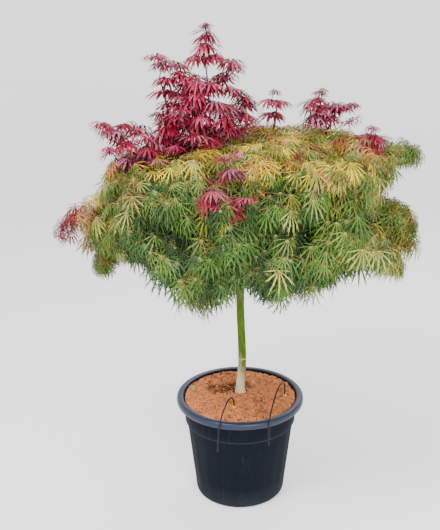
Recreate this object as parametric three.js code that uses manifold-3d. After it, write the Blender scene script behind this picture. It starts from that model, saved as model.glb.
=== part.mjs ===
// A weeping Japanese maple, grafted on a straight clear stem, in a round nursery pot.
// Millimetres, +Z up. The origin is at the centre of the pot's flat underside.
import * as THREE from 'three';
import { mergeVertices } from 'three/addons/utils/BufferGeometryUtils.js';
import Module from 'manifold-3d';

const wasm = await Module();
wasm.setup();

// ---------------------------------------------------------------- driving dimensions

const GAP = 0.3; // air between neighbouring pieces

// Pot
const POT_HEIGHT = 370;
const RIM_RADIUS = 225;
const BASE_RADIUS = 160;
const BASE_ROUND = 12;
const WALL = 4;
const LIP_HEIGHT = 22;
const LIP_ROUND = 8;
const LIP_FALL = 2; // how far the lip's underside falls towards its edge
const LIP_EDGE = 1;
const COLLAR_RADIUS = 200;
const COLLAR_FOOT = 298;
const COLLAR_STEP = 3;
const POT_SEGMENTS = 36;

// Soil
const SOIL_TOP = 360;
const SOIL_PLATEAU = 75;
const SOIL_EDGE_DROP = 12;

// Trunk
const TRUNK_FOOT = new THREE.Vector3(1, 26, SOIL_TOP + GAP);
const TRUNK_UPRIGHT = 30; // the foot rises straight this far
const TRUNK_BOW = new THREE.Vector3(8, 22, 500);
const TRUNK_NECK = new THREE.Vector3(1, 15, 700);
const FORK = new THREE.Vector3(-5, 12, 985);
const TRUNK_RADIUS_FOOT = 17.5;
const TRUNK_RADIUS_MID = 12.6;
const TRUNK_RADIUS_FORK = 11;
const TAPER_HEIGHT = 70; // the fat foot thins out over this height
const ROOT_FLARE = 6;
const FLARE_HEIGHT = 12;
const TRUNK_SIDES = 10;
const TRUNK_STEPS = 13;

// Crown: its outline is a flattened round. A plane that slopes up to the right cuts its
// top, and its foot rises towards the front and the back.
const CROWN_RADIUS = 608;
const CROWN_MIDDLE = 1005;
const CROWN_HALF_HEIGHT = 290;
const CROWN_SQUARENESS = 4;
const CROWN_TOP = 1275;
const CROWN_TOP_SLOPE = 0.12;
const CROWN_FOOT = 715;
const CROWN_FOOT_SLOPE = 0.29;
const LEFT_DROOP = 35; // how far the left shoulder hangs below, and the right stands above

// Masses round the crown. Each has its centre, the bend and end of its stem, and the tip
// of the bough that bears it, as a reach from the crown's axis and a height.
const SECTORS = 8;
const BOUGH_TIP = [235, 1095];
const SKIRT = { centre: [425, 965], bend: [380, 1110], end: [500, 900] };
const SHOULDER = { centre: [350, 1170], bend: [270, 1190], end: [470, 1190], stemAt: 0.88 };
const TOP_MASSES = 3;
const TOP_BEARING = -60;
const TOP_BEARING_STEP = 80;
const TOP_BOUGH_TIP = [70, 1215];
const TOP = { centre: [165, 1245], bend: [130, 1255], end: [240, 1265] };
const UNDER_MASSES = 4;
const UNDER_BEARING = 45;
const UNDER = { centre: [160, 850], bend: [110, 960], end: [190, 810] };

// Where limbs spring from: a share of the way along the trunk or the leader.
const LEADER_AT = 0.995;
const HIGHEST_BOUGH = 0.985;
const BOUGH_STEP_DOWN = 0.016;
const BOUGH_ORDER = 3; // neighbours stand this many steps apart, so they don't crowd
const HIGHEST_UNDER = 0.86;
const UNDER_STEP_DOWN = 0.02;
const TOP_BOUGH_AT = 0.3;
const TOP_BOUGH_STEP = 0.12;

// Boughs, twigs and leaves
const BOUGH_RADIUS = 9;
const SMALL_BOUGH_RADIUS = 7;
const BOUGH_TIP_RADIUS = 6;
const BOUGH_BEND = 0.45; // the share of a bough's length at which it arches
const BOUGH_ARCH = 40;
const TOP_BOUGH_ARCH = 15;
const SHOOT_BOUGH_ARCH = 25;
const BOUGH_SIDES = 6;
const BOUGH_STEPS = 5;
const STEM_RADIUS = 5.2;
const STEM_TIP_RADIUS = 3;
const STEM_SIDES = 5;
const STEM_STEPS = 5;
const FIRST_PAIR = 0.25; // where along its stem the first pair of twigs leaves it
const LAST_PAIR = 0.93;
const SHOOT_CENTRE = 0.62; // a shoot's centre, as a share of the way up its stem
const SHOOT_BEND = 0.5;
const TWIG_SHARE = 0.6; // a twig's foot, as a share of its stem's radius there
const TWIG_FREE = 0.15; // a twig may touch others up to this share of its length
const TWIG_SIDE_LEAF = 0.5;
const LEAF_THICKNESS = 5;
const LEAF_SWAY = 0.8; // how far a hanging leaf gives up its twig's own way
const LEAF_FACE_UP = 1.05;
const LIMB_CLEARANCE = 5;
const SPACE_MARGIN = 3;
const LEAF_CLEARANCE = 5;
const FIRST_SEED = 11;
const TWIG_VARIETY = 0.25;
const LEAF_VARIETY = 0.1;
const WAY_VARIETY = 0.5;
const ROLL_VARIETY = 20;
const SPREAD_VARIETY = 10;
const TWIG_TRIES = [1, 0.75, 0.55, 0.35]; // lengths tried until one fits
const LEAF_TRIES = [1, 1, 0.88, 0.88, 0.75, 0.75, 0.62, 0.62]; // sizes tried until one fits

// Drip tubes
const TUBE_RADIUS = 2.4;
const TUBE_SIDES = 8;
const TUBE_STEP = 12;
const DRIPPER_RADIUS = 6.5;
const DRIPPER_HEIGHT = 13;
const DRIPPER_TAPER = 1.5;
const DRIPPER_BAND = 4;
const DRIPPER_CHAMFER = 1;
const DRIPPER_SIDES = 8;
const SPIGOT_RADIUS = 3.6;
const SPIGOT_TAPER = 0.4;
const SPIGOT_HEIGHT = 3;

// ---------------------------------------------------------------- materials

const finish = {
  pot: { color: 0x2a3038, roughness: 0.55 },
  soil: { color: 0xb9784c, roughness: 1.0 },
  bark: { color: 0x6f8f3a, roughness: 0.8 },
  greenLeaf: { color: 0x6f9a3c, roughness: 0.6 },
  paleLeaf: { color: 0xb9bf62, roughness: 0.6 },
  goldLeaf: { color: 0xc9a648, roughness: 0.6 },
  redLeaf: { color: 0xa52a44, roughness: 0.6 },
  tube: { color: 0x15161a, roughness: 0.5 },
  dripper: { color: 0xe8c11c, roughness: 0.45 },
};

function material(name) {
  return new THREE.MeshStandardMaterial({ metalness: 0, ...finish[name] });
}

const UP = new THREE.Vector3(0, 0, 1);
const UP_Y = new THREE.Vector3(0, 1, 0);

// ---------------------------------------------------------------- solids

// A closed three.js geometry as a solid with its faces pointing out.
function solid(geometry) {
  const bare = geometry.clone();
  bare.deleteAttribute('normal');
  bare.deleteAttribute('uv');
  const merged = mergeVertices(bare, 1e-3);
  const places = merged.getAttribute('position');
  const index = merged.getIndex().array;
  const triangles = [];
  let volume = 0;
  const a = new THREE.Vector3();
  const b = new THREE.Vector3();
  const c = new THREE.Vector3();
  for (let i = 0; i < index.length; i += 3) {
    const [p, q, r] = [index[i], index[i + 1], index[i + 2]];
    if (p === q || q === r || r === p) continue;
    triangles.push(p, q, r);
    a.fromBufferAttribute(places, p);
    b.fromBufferAttribute(places, q);
    c.fromBufferAttribute(places, r);
    volume += a.dot(b.cross(c));
  }
  if (volume < 0) triangles.reverse();
  const mesh = new wasm.Mesh({
    numProp: 3,
    vertProperties: new Float32Array(places.array),
    triVerts: new Uint32Array(triangles),
  });
  return new wasm.Manifold(mesh);
}

// The solid's largest body, with no loose scrap and no sealed hollow.
function mainBody(shape) {
  const bodies = shape.decompose();
  return bodies.reduce((best, body) => (body.volume() > best.volume() ? body : best));
}

function geometryOf(shape) {
  const mesh = shape.getMesh();
  const geometry = new THREE.BufferGeometry();
  const places = new Float32Array(mesh.vertProperties);
  geometry.setAttribute('position', new THREE.BufferAttribute(places, 3));
  geometry.setIndex(Array.from(mesh.triVerts));
  geometry.computeVertexNormals();
  return geometry;
}

// ---------------------------------------------------------------- shapes that repeat

// A round piece turned about +Z from [radius, height] points.
function turned(profile, segments) {
  const points = profile.map(([radius, height]) => new THREE.Vector2(radius, height));
  return new THREE.LatheGeometry(points, segments).rotateX(Math.PI / 2);
}

// A quarter round from one profile point to the next, about a centre.
function quarterRound(centreRadius, centreHeight, size, from, steps) {
  return Array.from({ length: steps + 1 }, (_, i) => {
    const angle = from + (i / steps) * (Math.PI / 2);
    return [centreRadius + size * Math.cos(angle), centreHeight + size * Math.sin(angle)];
  });
}

// A limb: a unit cylinder bent along a curve, its radius given by radiusAt(t).
// With grown above 0 it is fatter and longer by that much, to cut a neighbour clear.
function limb(path, radiusAt, sides, steps, grown = 0) {
  const geometry = new THREE.CylinderGeometry(1, 1, 1, sides, steps);
  const frames = path.computeFrenetFrames(steps, false);
  const places = geometry.getAttribute('position');
  const point = new THREE.Vector3();
  for (let i = 0; i < places.count; i += 1) {
    const step = Math.round((places.getY(i) + 0.5) * steps);
    const radius = radiusAt(step / steps) + grown;
    path.getPointAt(step / steps, point);
    if (step === 0) point.addScaledVector(frames.tangents[0], -grown);
    if (step === steps) point.addScaledVector(frames.tangents[steps], grown);
    point.addScaledVector(frames.normals[step], places.getX(i) * radius);
    point.addScaledVector(frames.binormals[step], places.getZ(i) * radius);
    places.setXYZ(i, point.x, point.y, point.z);
  }
  return geometry;
}

// A twig: a slim three-sided cone from its stem to its tip.
function twigShape(start, end, radius) {
  const way = end.clone().sub(start);
  const cone = new THREE.ConeGeometry(radius, way.length(), 3);
  cone.translate(0, way.length() / 2, 0);
  cone.applyQuaternion(new THREE.Quaternion().setFromUnitVectors(UP_Y, way.normalize()));
  return cone.translate(start.x, start.y, start.z);
}

// A maple leaf as a thin star: a long middle lobe, two side lobes and a short stalk.
// It lies in XY with its heart at the origin and the middle lobe along +X.
const LEAF_LOBES = [1, 0.36, 0.8, 0.09, 0.8, 0.36];
const STALK_LOBE = 3;
const LEAF_ANGLES = [0, 28, 62, 180, -62, -28];
const LEAF_CUP = 0.12;

function leafShape(length) {
  const profile = [[0, -LEAF_THICKNESS / 2], [1, 0], [0, LEAF_THICKNESS / 2]];
  const leaf = turned(profile, LEAF_LOBES.length);
  const places = leaf.getAttribute('position');
  for (let i = 1; i < places.count; i += profile.length) {
    const k = Math.floor(i / profile.length) % LEAF_LOBES.length;
    const reach = LEAF_LOBES[k] * length;
    const angle = THREE.MathUtils.degToRad(LEAF_ANGLES[k]);
    places.setXYZ(i, reach * Math.cos(angle), reach * Math.sin(angle), -LEAF_CUP * reach);
  }
  return leaf;
}

// ---------------------------------------------------------------- pot, soil and trunk

const lipFoot = POT_HEIGHT - LIP_HEIGHT;
const collarFootRadius = COLLAR_RADIUS - COLLAR_STEP;

function potProfile() {
  const innerLip = RIM_RADIUS - WALL;
  const lipBack = COLLAR_RADIUS - WALL + LIP_ROUND;
  return [
    [0, 0],
    ...quarterRound(BASE_RADIUS - BASE_ROUND, BASE_ROUND, BASE_ROUND, -Math.PI / 2, 3),
    [collarFootRadius - COLLAR_STEP, COLLAR_FOOT],
    [collarFootRadius, COLLAR_FOOT + COLLAR_STEP],
    [COLLAR_RADIUS, POT_HEIGHT - WALL],
    [innerLip, POT_HEIGHT - WALL - LIP_FALL],
    [innerLip, lipFoot],
    [RIM_RADIUS, lipFoot + LIP_EDGE],
    ...quarterRound(RIM_RADIUS - LIP_ROUND, POT_HEIGHT - LIP_ROUND, LIP_ROUND, 0, 3),
    ...quarterRound(lipBack, POT_HEIGHT - LIP_ROUND, LIP_ROUND, Math.PI / 2, 2),
    ...soilSide().reverse(),
    [0, WALL],
  ];
}

// The pot's inner wall, from the floor up.
function soilSide() {
  return [
    [BASE_RADIUS - WALL, WALL],
    [collarFootRadius - COLLAR_STEP - WALL, COLLAR_FOOT],
  ];
}

function soilProfile() {
  const [foot, top] = soilSide();
  const edge = SOIL_TOP - SOIL_EDGE_DROP;
  return [
    [0, WALL + GAP],
    [foot[0] - GAP, WALL + GAP],
    [top[0] - GAP, COLLAR_FOOT],
    [top[0] - GAP, edge],
    [(SOIL_PLATEAU + top[0]) / 2, SOIL_TOP - SOIL_EDGE_DROP / 4],
    [SOIL_PLATEAU, SOIL_TOP],
    [0, SOIL_TOP],
  ];
}

const soilShape = solid(turned(soilProfile(), POT_SEGMENTS));

const trunkPath = new THREE.CatmullRomCurve3([
  TRUNK_FOOT,
  TRUNK_FOOT.clone().setZ(TRUNK_FOOT.z + TRUNK_UPRIGHT),
  TRUNK_BOW,
  TRUNK_NECK,
  FORK,
]);

// The stem tapers fast over its first hand's breadth, then slowly up to the fork.
function trunkRadius(t) {
  const height = t * (FORK.z - TRUNK_FOOT.z);
  const taper = (TRUNK_RADIUS_FOOT - TRUNK_RADIUS_MID) * Math.exp(-height / TAPER_HEIGHT);
  const flare = ROOT_FLARE * Math.exp(-height / FLARE_HEIGHT);
  return THREE.MathUtils.lerp(TRUNK_RADIUS_MID, TRUNK_RADIUS_FORK, t) + taper + flare;
}

// ---------------------------------------------------------------- growing the crown

// A seeded source of even random numbers from 0 to 1.
function randomSource(seed) {
  let state = seed >>> 0;
  return () => {
    state = (state + 0x6d2b79f5) >>> 0;
    let mixed = Math.imul(state ^ (state >>> 15), state | 1);
    mixed ^= mixed + Math.imul(mixed ^ (mixed >>> 7), mixed | 61);
    return ((mixed ^ (mixed >>> 14)) >>> 0) / 4294967296;
  };
}

function at(x, y, z) {
  return new THREE.Vector3(x, y, z);
}

// A place given by its bearing from the crown's axis, in degrees, its reach and its height.
function around(bearing, reach, height) {
  const angle = THREE.MathUtils.degToRad(bearing);
  return at(reach * Math.cos(angle), reach * Math.sin(angle), height);
}

// Every bough, as a curve from inside the limb that it springs from to its tip.
const boughs = [];

function addBough(name, parentPath, parentT, tip, radius, arch) {
  const start = parentPath.getPointAt(parentT);
  const outward = tip.clone().sub(start);
  const rise = start.clone().addScaledVector(outward, BOUGH_BEND);
  rise.z += arch;
  const path = new THREE.QuadraticBezierCurve3(start, rise, tip);
  const bough = { name, path, radius };
  boughs.push(bough);
  return bough;
}

// Every mass of foliage: its centre, the stem that enters it and how it grows. A mass
// with a size of its own fills that round, and any other shares out the crown.
const masses = [];

function addMass(name, bough, centre, options) {
  masses.push({ name, bough, centre, seed: masses.length + FIRST_SEED, ...options });
}

// How each kind of mass grows: its pairs of twigs, the angle at which they leave the
// stem, their length and sag, and the size of its leaves and how steeply they hang.
const weeping = { pairs: 4, spread: 60, weight: 60 };
const skirtHabit = { ...weeping, tint: 'greenLeaf', twig: 115, sag: 0.3, leaf: 155, hang: 0.8 };
const shoulderHabit = { ...weeping, tint: 'paleLeaf', twig: 115, sag: 0.15, leaf: 150, hang: 0.55 };
const topHabit = { ...weeping, tint: 'goldLeaf', twig: 100, sag: 0.075, leaf: 130, hang: 0.4 };
const underHabit = { ...skirtHabit, pairs: 3, twig: 95, leaf: 140 };
const uprightHabit = {
  ...weeping, tint: 'redLeaf', twig: 60, sag: 0.05, leaf: 90, hang: 0.4, spread: 68,
};

// The leader carries the red upright shoots on the left and the middle of the crown.
const LEADER_TIP = [-95, 30, 1290];
const leader = addBough('leader', trunkPath, LEADER_AT, at(...LEADER_TIP), BOUGH_RADIUS, 0);

// A mass at a bearing round the crown, raised by a lift.
function addRoundMass(name, bough, bearing, layout, lift, options) {
  const place = ([reach, height]) => around(bearing, reach, height + lift);
  addMass(name, bough, place(layout.centre), {
    ...options,
    stemAt: layout.stemAt,
    stemBend: place(layout.bend),
    stemEnd: place(layout.end),
  });
}

// The main boughs spring from the top of the trunk. Each forks at its tip: one stem
// weeps over into the skirt of the crown, the other runs on into its shoulder.
// The shoulder at the front is red, and the crown droops lowest on the left.
const FRONT_BEARING = 270;

for (let k = 0; k < SECTORS; k += 1) {
  const bearing = (k * 360) / SECTORS;
  const lift = LEFT_DROOP * Math.cos(THREE.MathUtils.degToRad(bearing));
  const parentT = HIGHEST_BOUGH - BOUGH_STEP_DOWN * ((k * BOUGH_ORDER) % SECTORS);
  const tip = around(bearing, ...BOUGH_TIP);
  const bough = addBough(`bough_${k + 1}`, trunkPath, parentT, tip, BOUGH_RADIUS, BOUGH_ARCH);
  addRoundMass(`skirt_foliage_${k + 1}`, bough, bearing, SKIRT, 0, skirtHabit);
  if (bearing === FRONT_BEARING) {
    const redHabit = { ...shoulderHabit, tint: 'redLeaf' };
    addRoundMass(`front_red_foliage_${k + 1}`, bough, bearing, SHOULDER, lift, redHabit);
  } else {
    addRoundMass(`shoulder_foliage_${k + 1}`, bough, bearing, SHOULDER, lift, shoulderHabit);
  }
}

for (let k = 0; k < TOP_MASSES; k += 1) {
  const bearing = TOP_BEARING + k * TOP_BEARING_STEP;
  const parentT = TOP_BOUGH_AT + TOP_BOUGH_STEP * k;
  const tip = around(bearing, ...TOP_BOUGH_TIP);
  const name = `top_bough_${k + 1}`;
  const bough = addBough(name, leader.path, parentT, tip, SMALL_BOUGH_RADIUS, TOP_BOUGH_ARCH);
  addRoundMass(`top_foliage_${k + 1}`, bough, bearing, TOP, 0, topHabit);
}

// Low foliage hangs round the head of the clear trunk, on stems of its own.
for (let k = 0; k < UNDER_MASSES; k += 1) {
  const bearing = UNDER_BEARING + (k * 360) / UNDER_MASSES;
  const stemStart = trunkPath.getPointAt(HIGHEST_UNDER - UNDER_STEP_DOWN * k);
  addRoundMass(`under_foliage_${k + 1}`, null, bearing, UNDER, 0, { ...underHabit, stemStart });
}

// The upright shoots: the share of the leader's length at which each one's bough leaves
// it, the foot and the top of the shoot, and the half sizes of its round of leaves.
const shoots = {
  leader_shoot: { from: 1, foot: LEADER_TIP, top: [-112, 40, 1545], size: [140, 130, 215] },
  left_spire: { from: 0.62, foot: [-205, -10, 1260], top: [-250, -15, 1470], size: [115, 115, 170] },
  left_spray: { from: 0.42, foot: [-270, -70, 1200], top: [-405, -90, 1290], size: [150, 140, 110] },
  heart_shoot: { from: 0.75, foot: [-120, -70, 1245], top: [-130, -110, 1370], size: [130, 130, 130] },
  middle_spire: { from: 0.55, foot: [105, 20, 1290], top: [118, 25, 1385], size: [85, 85, 110] },
  right_spray: { from: 0.35, foot: [255, 20, 1250], top: [310, 25, 1365], size: [130, 115, 115] },
  right_sprig: { from: 0.2, foot: [400, 70, 1230], top: [430, 75, 1275], size: [95, 95, 85] },
};

for (const [name, shoot] of Object.entries(shoots)) {
  const foot = at(...shoot.foot);
  const top = at(...shoot.top);
  const bough = shoot.from === 1
    ? leader
    : addBough(`${name}_bough`, leader.path, shoot.from, foot, SMALL_BOUGH_RADIUS, SHOOT_BOUGH_ARCH);
  addMass(`${name}_foliage`, bough, foot.clone().lerp(top, SHOOT_CENTRE), {
    ...uprightHabit,
    size: at(...shoot.size),
    stemBend: foot.clone().lerp(top, SHOOT_BEND),
    stemEnd: top,
  });
}

// The planes midway between a mass and each neighbour, weighed by their sizes, and the
// crown's outline or its own round bound its space. That space bulges outwards only, so
// a leaf whose tips are in it is in it all over.
function inSpace(mass, place) {
  if (!(mass.size ? inRound(mass, place) : inCrown(place))) return false;
  return masses.every((other) => {
    if (other === mass) return true;
    const across = other.centre.clone().sub(mass.centre);
    const apart = across.length();
    const plane = (apart * apart + mass.weight ** 2 - other.weight ** 2) / (2 * apart);
    return place.clone().sub(mass.centre).dot(across) / apart < plane - SPACE_MARGIN;
  });
}

function inRound(mass, place) {
  return place.clone().sub(mass.centre).divide(mass.size).lengthSq() < 1;
}

function inCrown(place) {
  const out = Math.hypot(place.x, place.y) / CROWN_RADIUS;
  const up = Math.abs(place.z - CROWN_MIDDLE) / CROWN_HALF_HEIGHT;
  const round = out ** CROWN_SQUARENESS + up ** CROWN_SQUARENESS;
  const top = CROWN_TOP + CROWN_TOP_SLOPE * place.x;
  const foot = CROWN_FOOT + CROWN_FOOT_SLOPE * Math.abs(place.y);
  return round < 1 && place.z < top && place.z > foot;
}

// The least distance between two straight stretches, each given by its two ends.
function stretchDistance([p, pEnd], [q, qEnd]) {
  const d = pEnd.clone().sub(p);
  const e = qEnd.clone().sub(q);
  const r = p.clone().sub(q);
  const a = d.dot(d);
  const b = d.dot(e);
  const c = d.dot(r);
  const f = e.dot(e);
  const g = e.dot(r);
  const spread = a * f - b * b;
  let s = spread > 1e-6 ? THREE.MathUtils.clamp((b * g - c * f) / spread, 0, 1) : 0;
  const t = THREE.MathUtils.clamp((b * s + g) / f, 0, 1);
  s = THREE.MathUtils.clamp((b * t - c) / a, 0, 1);
  return p.clone().addScaledVector(d, s).distanceTo(q.clone().addScaledVector(e, t));
}

// The limbs that no twig or leaf of another node may touch, as straight stretches.
const limbStretches = [];

function noteLimb(owner, path, radiusAt, steps) {
  for (let i = 0; i < steps; i += 1) {
    const ends = [path.getPointAt(i / steps), path.getPointAt((i + 1) / steps)];
    limbStretches.push({ owner, ends, radius: radiusAt(i / steps) });
  }
}

function clearOfLimbs(owner, stretches, radius) {
  return limbStretches.every((other) => other.owner === owner || stretches.every((ends) => (
    stretchDistance(ends, other.ends) > radius + other.radius + LIMB_CLEARANCE)));
}

// A leaf or twig keeps clear of those already on its mass, apart from the one it grows on.
function clearOfGrowth(mass, stretches, twig) {
  return mass.growth.every((other) => other.twig === twig || stretches.every((ends) => (
    stretchDistance(ends, other.ends) > LEAF_CLEARANCE)));
}

function boughRadius(bough) {
  return (t) => THREE.MathUtils.lerp(bough.radius, BOUGH_TIP_RADIUS, t);
}

function stemRadius(t) {
  return THREE.MathUtils.lerp(STEM_RADIUS, STEM_TIP_RADIUS, t);
}

function grownLimb(path, radiusAt, sides, steps) {
  return solid(limb(path, radiusAt, sides, steps, GAP));
}

noteLimb('trunk', trunkPath, trunkRadius, TRUNK_STEPS);
for (const bough of boughs) noteLimb(bough.name, bough.path, boughRadius(bough), BOUGH_STEPS);
for (const mass of masses) {
  const start = mass.stemStart ?? mass.bough.path.getPointAt(mass.stemAt ?? 1);
  mass.stem = new THREE.QuadraticBezierCurve3(start, mass.stemBend, mass.stemEnd);
  noteLimb(mass.name, mass.stem, stemRadius, STEM_STEPS);
}

// The stretches that a leaf's lobes and outline cover, or none if it leaves its space.
function leafStretches(mass, matrix, length) {
  const tips = LEAF_LOBES.map((reach, k) => {
    const angle = THREE.MathUtils.degToRad(LEAF_ANGLES[k]);
    const along = reach * length;
    return at(along * Math.cos(angle), along * Math.sin(angle), -LEAF_CUP * along).applyMatrix4(matrix);
  });
  if (!tips.every((tip) => inSpace(mass, tip))) return [];
  const heart = at(0, 0, 0).applyMatrix4(matrix);
  const lobes = tips.map((tip) => [heart, tip]);
  const edges = tips.map((tip, k) => [tip, tips[(k + 1) % tips.length]]);
  return [...lobes, ...edges];
}

// A leaf pointing the way given, face outwards. Its heart sits on the place, or with a
// stalk of 1 the end of its stalk does, in the middle of the twig.
function addLeaf(mass, pieces, place, way, stalk, twig, random) {
  for (const scale of LEAF_TRIES) {
    const length = mass.leaf * scale * (1 + varied(random, LEAF_VARIETY));
    const lie = way.clone().add(jitter(random, WAY_VARIETY)).normalize();
    const outward = at(place.x, place.y, 0).normalize().multiplyScalar(mass.hang);
    const face = outward.addScaledVector(UP, LEAF_FACE_UP - mass.hang);
    const side = face.add(jitter(random, WAY_VARIETY)).cross(lie).normalize();
    const matrix = new THREE.Matrix4().makeBasis(lie, side, lie.clone().cross(side));
    const offset = stalk * LEAF_LOBES[STALK_LOBE] * length;
    matrix.setPosition(place.clone().addScaledVector(lie, offset));
    const stretches = leafStretches(mass, matrix, length);
    const fits = stretches.length > 0
      && clearOfLimbs(mass.name, stretches, LEAF_THICKNESS / 2)
      && clearOfGrowth(mass, stretches, twig);
    if (fits) {
      pieces.push(solid(leafShape(length).applyMatrix4(matrix)));
      for (const ends of stretches) mass.growth.push({ twig: `leaf ${pieces.length}`, ends });
      return;
    }
  }
}

// A random number from minus the amount to the amount.
function varied(random, amount) {
  return amount * (2 * random() - 1);
}

function jitter(random, amount) {
  return at(random() - 0.5, random() - 0.5, random() - 0.5).multiplyScalar(amount);
}

// The way a leaf hangs from a twig: on along the twig, out to a side, and down.
function leafWay(mass, along, side, sideways) {
  const way = along.clone().addScaledVector(side, sideways).normalize();
  return way.multiplyScalar(1 - mass.hang * LEAF_SWAY).addScaledVector(UP, -mass.hang).normalize();
}

// A twig with a leaf at its end and one at its side. One with room for neither is left out.
function addTwig(mass, pieces, start, radius, way, random) {
  const reach = mass.twig * (1 + varied(random, TWIG_VARIETY));
  for (const scale of TWIG_TRIES) {
    const end = start.clone().addScaledVector(way, reach * scale);
    end.z -= mass.sag * reach * scale;
    const path = new THREE.LineCurve3(start, end);
    const twig = `twig ${pieces.length}`;
    const free = [path.getPoint(TWIG_FREE), end];
    const fits = inSpace(mass, end)
      && clearOfLimbs(mass.name, [[start, end]], radius)
      && clearOfGrowth(mass, [free], twig);
    if (fits) {
      const along = end.clone().sub(start).normalize();
      const side = along.clone().cross(UP).normalize();
      const turn = random() < 0.5 ? 1 : -1;
      const before = pieces.length;
      addLeaf(mass, pieces, end, leafWay(mass, along, side, 0), 0, twig, random);
      const middle = path.getPointAt(TWIG_SIDE_LEAF);
      addLeaf(mass, pieces, middle, leafWay(mass, along, side, turn), 1, twig, random);
      if (pieces.length > before) {
        pieces.push(solid(twigShape(start, end, radius)));
        mass.growth.push({ twig, ends: free });
        return;
      }
    }
  }
}

// Twigs leave the stem in opposite pairs, each pair turned a quarter from the last.
function grow(mass) {
  const random = randomSource(mass.seed);
  const pieces = [];
  mass.growth = [];
  const lastWay = leafWay(mass, mass.stem.getTangentAt(1), UP, 0);
  addLeaf(mass, pieces, mass.stem.getPointAt(1), lastWay, 0, 'stem', random);
  for (let pair = mass.pairs - 1; pair >= 0; pair -= 1) {
    const t = THREE.MathUtils.lerp(FIRST_PAIR, LAST_PAIR, pair / (mass.pairs - 1));
    const place = mass.stem.getPointAt(t);
    const along = mass.stem.getTangentAt(t);
    const across = along.clone().cross(Math.abs(along.z) > 0.9 ? at(1, 0, 0) : UP).normalize();
    for (const side of [0, 180]) {
      const roll = THREE.MathUtils.degToRad(pair * 90 + side + varied(random, ROLL_VARIETY));
      const way = across.clone().applyAxisAngle(along, roll);
      const spread = THREE.MathUtils.degToRad(mass.spread + varied(random, SPREAD_VARIETY));
      way.multiplyScalar(Math.sin(spread)).addScaledVector(along, Math.cos(spread));
      addTwig(mass, pieces, place, TWIG_SHARE * stemRadius(t), way, random);
    }
  }
  return pieces;
}

// ---------------------------------------------------------------- drip tubes

// Each tube rises out of its dripper in the soil, arches over and hangs outside the rim.
const tubeRoutes = {
  left: [
    [-20, -100, 372], [-21, -102, 388], [-25, -110, 405], [-28, -117, 411], [-31, -124, 416],
    [-38, -142, 418], [-42, -152, 417], [-46, -163, 413], [-54, -184, 402], [-61, -203, 388],
    [-66, -217, 372], [-69, -226, 352], [-71, -231, 330], [-73, -232, 308], [-74, -231, 288],
    [-75, -229, 270],
  ],
  right: [
    [159, -11, 370], [159, -13, 388], [158, -19, 406], [155, -30, 422], [150, -45, 434],
    [144, -63, 441], [137, -83, 442], [129, -105, 437], [121, -129, 428], [113, -154, 416],
    [105, -179, 400], [99, -200, 381], [95, -214, 360], [94, -222, 338], [95, -225, 314],
    [96, -224, 292],
  ],
};

function tube(route) {
  const path = new THREE.CatmullRomCurve3(route.map((point) => at(...point)));
  const steps = Math.ceil(path.getLength() / TUBE_STEP);
  const section = new THREE.Shape();
  for (let i = 0; i < TUBE_SIDES; i += 1) {
    const angle = (i / TUBE_SIDES) * 2 * Math.PI;
    const [x, y] = [TUBE_RADIUS * Math.cos(angle), TUBE_RADIUS * Math.sin(angle)];
    if (i === 0) section.moveTo(x, y);
    else section.lineTo(x, y);
  }
  section.closePath();
  return new THREE.ExtrudeGeometry(section, { steps, extrudePath: path });
}

// A push-in dripper: a round cap with a narrower spigot that the tube ends on.
function dripper([x, y, z]) {
  const top = z - GAP;
  const shoulder = top - SPIGOT_HEIGHT;
  const foot = shoulder - DRIPPER_HEIGHT;
  const profile = [
    [0, foot],
    [DRIPPER_RADIUS - DRIPPER_TAPER, foot],
    [DRIPPER_RADIUS, shoulder - DRIPPER_BAND],
    [DRIPPER_RADIUS - DRIPPER_CHAMFER, shoulder],
    [SPIGOT_RADIUS, shoulder + DRIPPER_CHAMFER / 2],
    [SPIGOT_RADIUS - SPIGOT_TAPER, top],
    [0, top],
  ];
  const raisedSoil = solid(turned(soilProfile(), POT_SEGMENTS).translate(0, 0, GAP));
  return mainBody(solid(turned(profile, DRIPPER_SIDES).translate(x, y, 0)).subtract(raisedSoil));
}

// ---------------------------------------------------------------- the whole plant

const maple = new THREE.Group();

function addPiece(name, shape, finishName) {
  const geometry = shape.isBufferGeometry ? shape : geometryOf(shape);
  const mesh = new THREE.Mesh(geometry, material(finishName));
  mesh.name = name;
  maple.add(mesh);
}

addPiece('pot', solid(turned(potProfile(), POT_SEGMENTS)), 'pot');
addPiece('soil', soilShape, 'soil');
addPiece('trunk', solid(limb(trunkPath, trunkRadius, TRUNK_SIDES, TRUNK_STEPS)), 'bark');

const trunkClear = grownLimb(trunkPath, trunkRadius, TRUNK_SIDES, TRUNK_STEPS);
const boughsClear = new Map();

for (const bough of boughs) {
  const radiusAt = boughRadius(bough);
  let shape = solid(limb(bough.path, radiusAt, BOUGH_SIDES, BOUGH_STEPS)).subtract(trunkClear);
  for (const earlier of boughsClear.values()) shape = shape.subtract(earlier);
  addPiece(bough.name, mainBody(shape), 'bark');
  boughsClear.set(bough.name, grownLimb(bough.path, radiusAt, BOUGH_SIDES, BOUGH_STEPS));
}

for (const mass of masses) {
  const stem = solid(limb(mass.stem, stemRadius, STEM_SIDES, STEM_STEPS));
  const parent = mass.bough ? boughsClear.get(mass.bough.name) : trunkClear;
  const whole = wasm.Manifold.union([stem.subtract(parent), ...grow(mass)]);
  addPiece(mass.name, mainBody(whole), mass.tint);
}

for (const [side, route] of Object.entries(tubeRoutes)) {
  addPiece(`dripper_${side}`, dripper(route[0]), 'dripper');
  addPiece(`drip_tube_${side}`, tube(route), 'tube');
}

export default maple;
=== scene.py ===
import math

import bpy
import numpy as np
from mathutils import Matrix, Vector, noise


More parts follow.
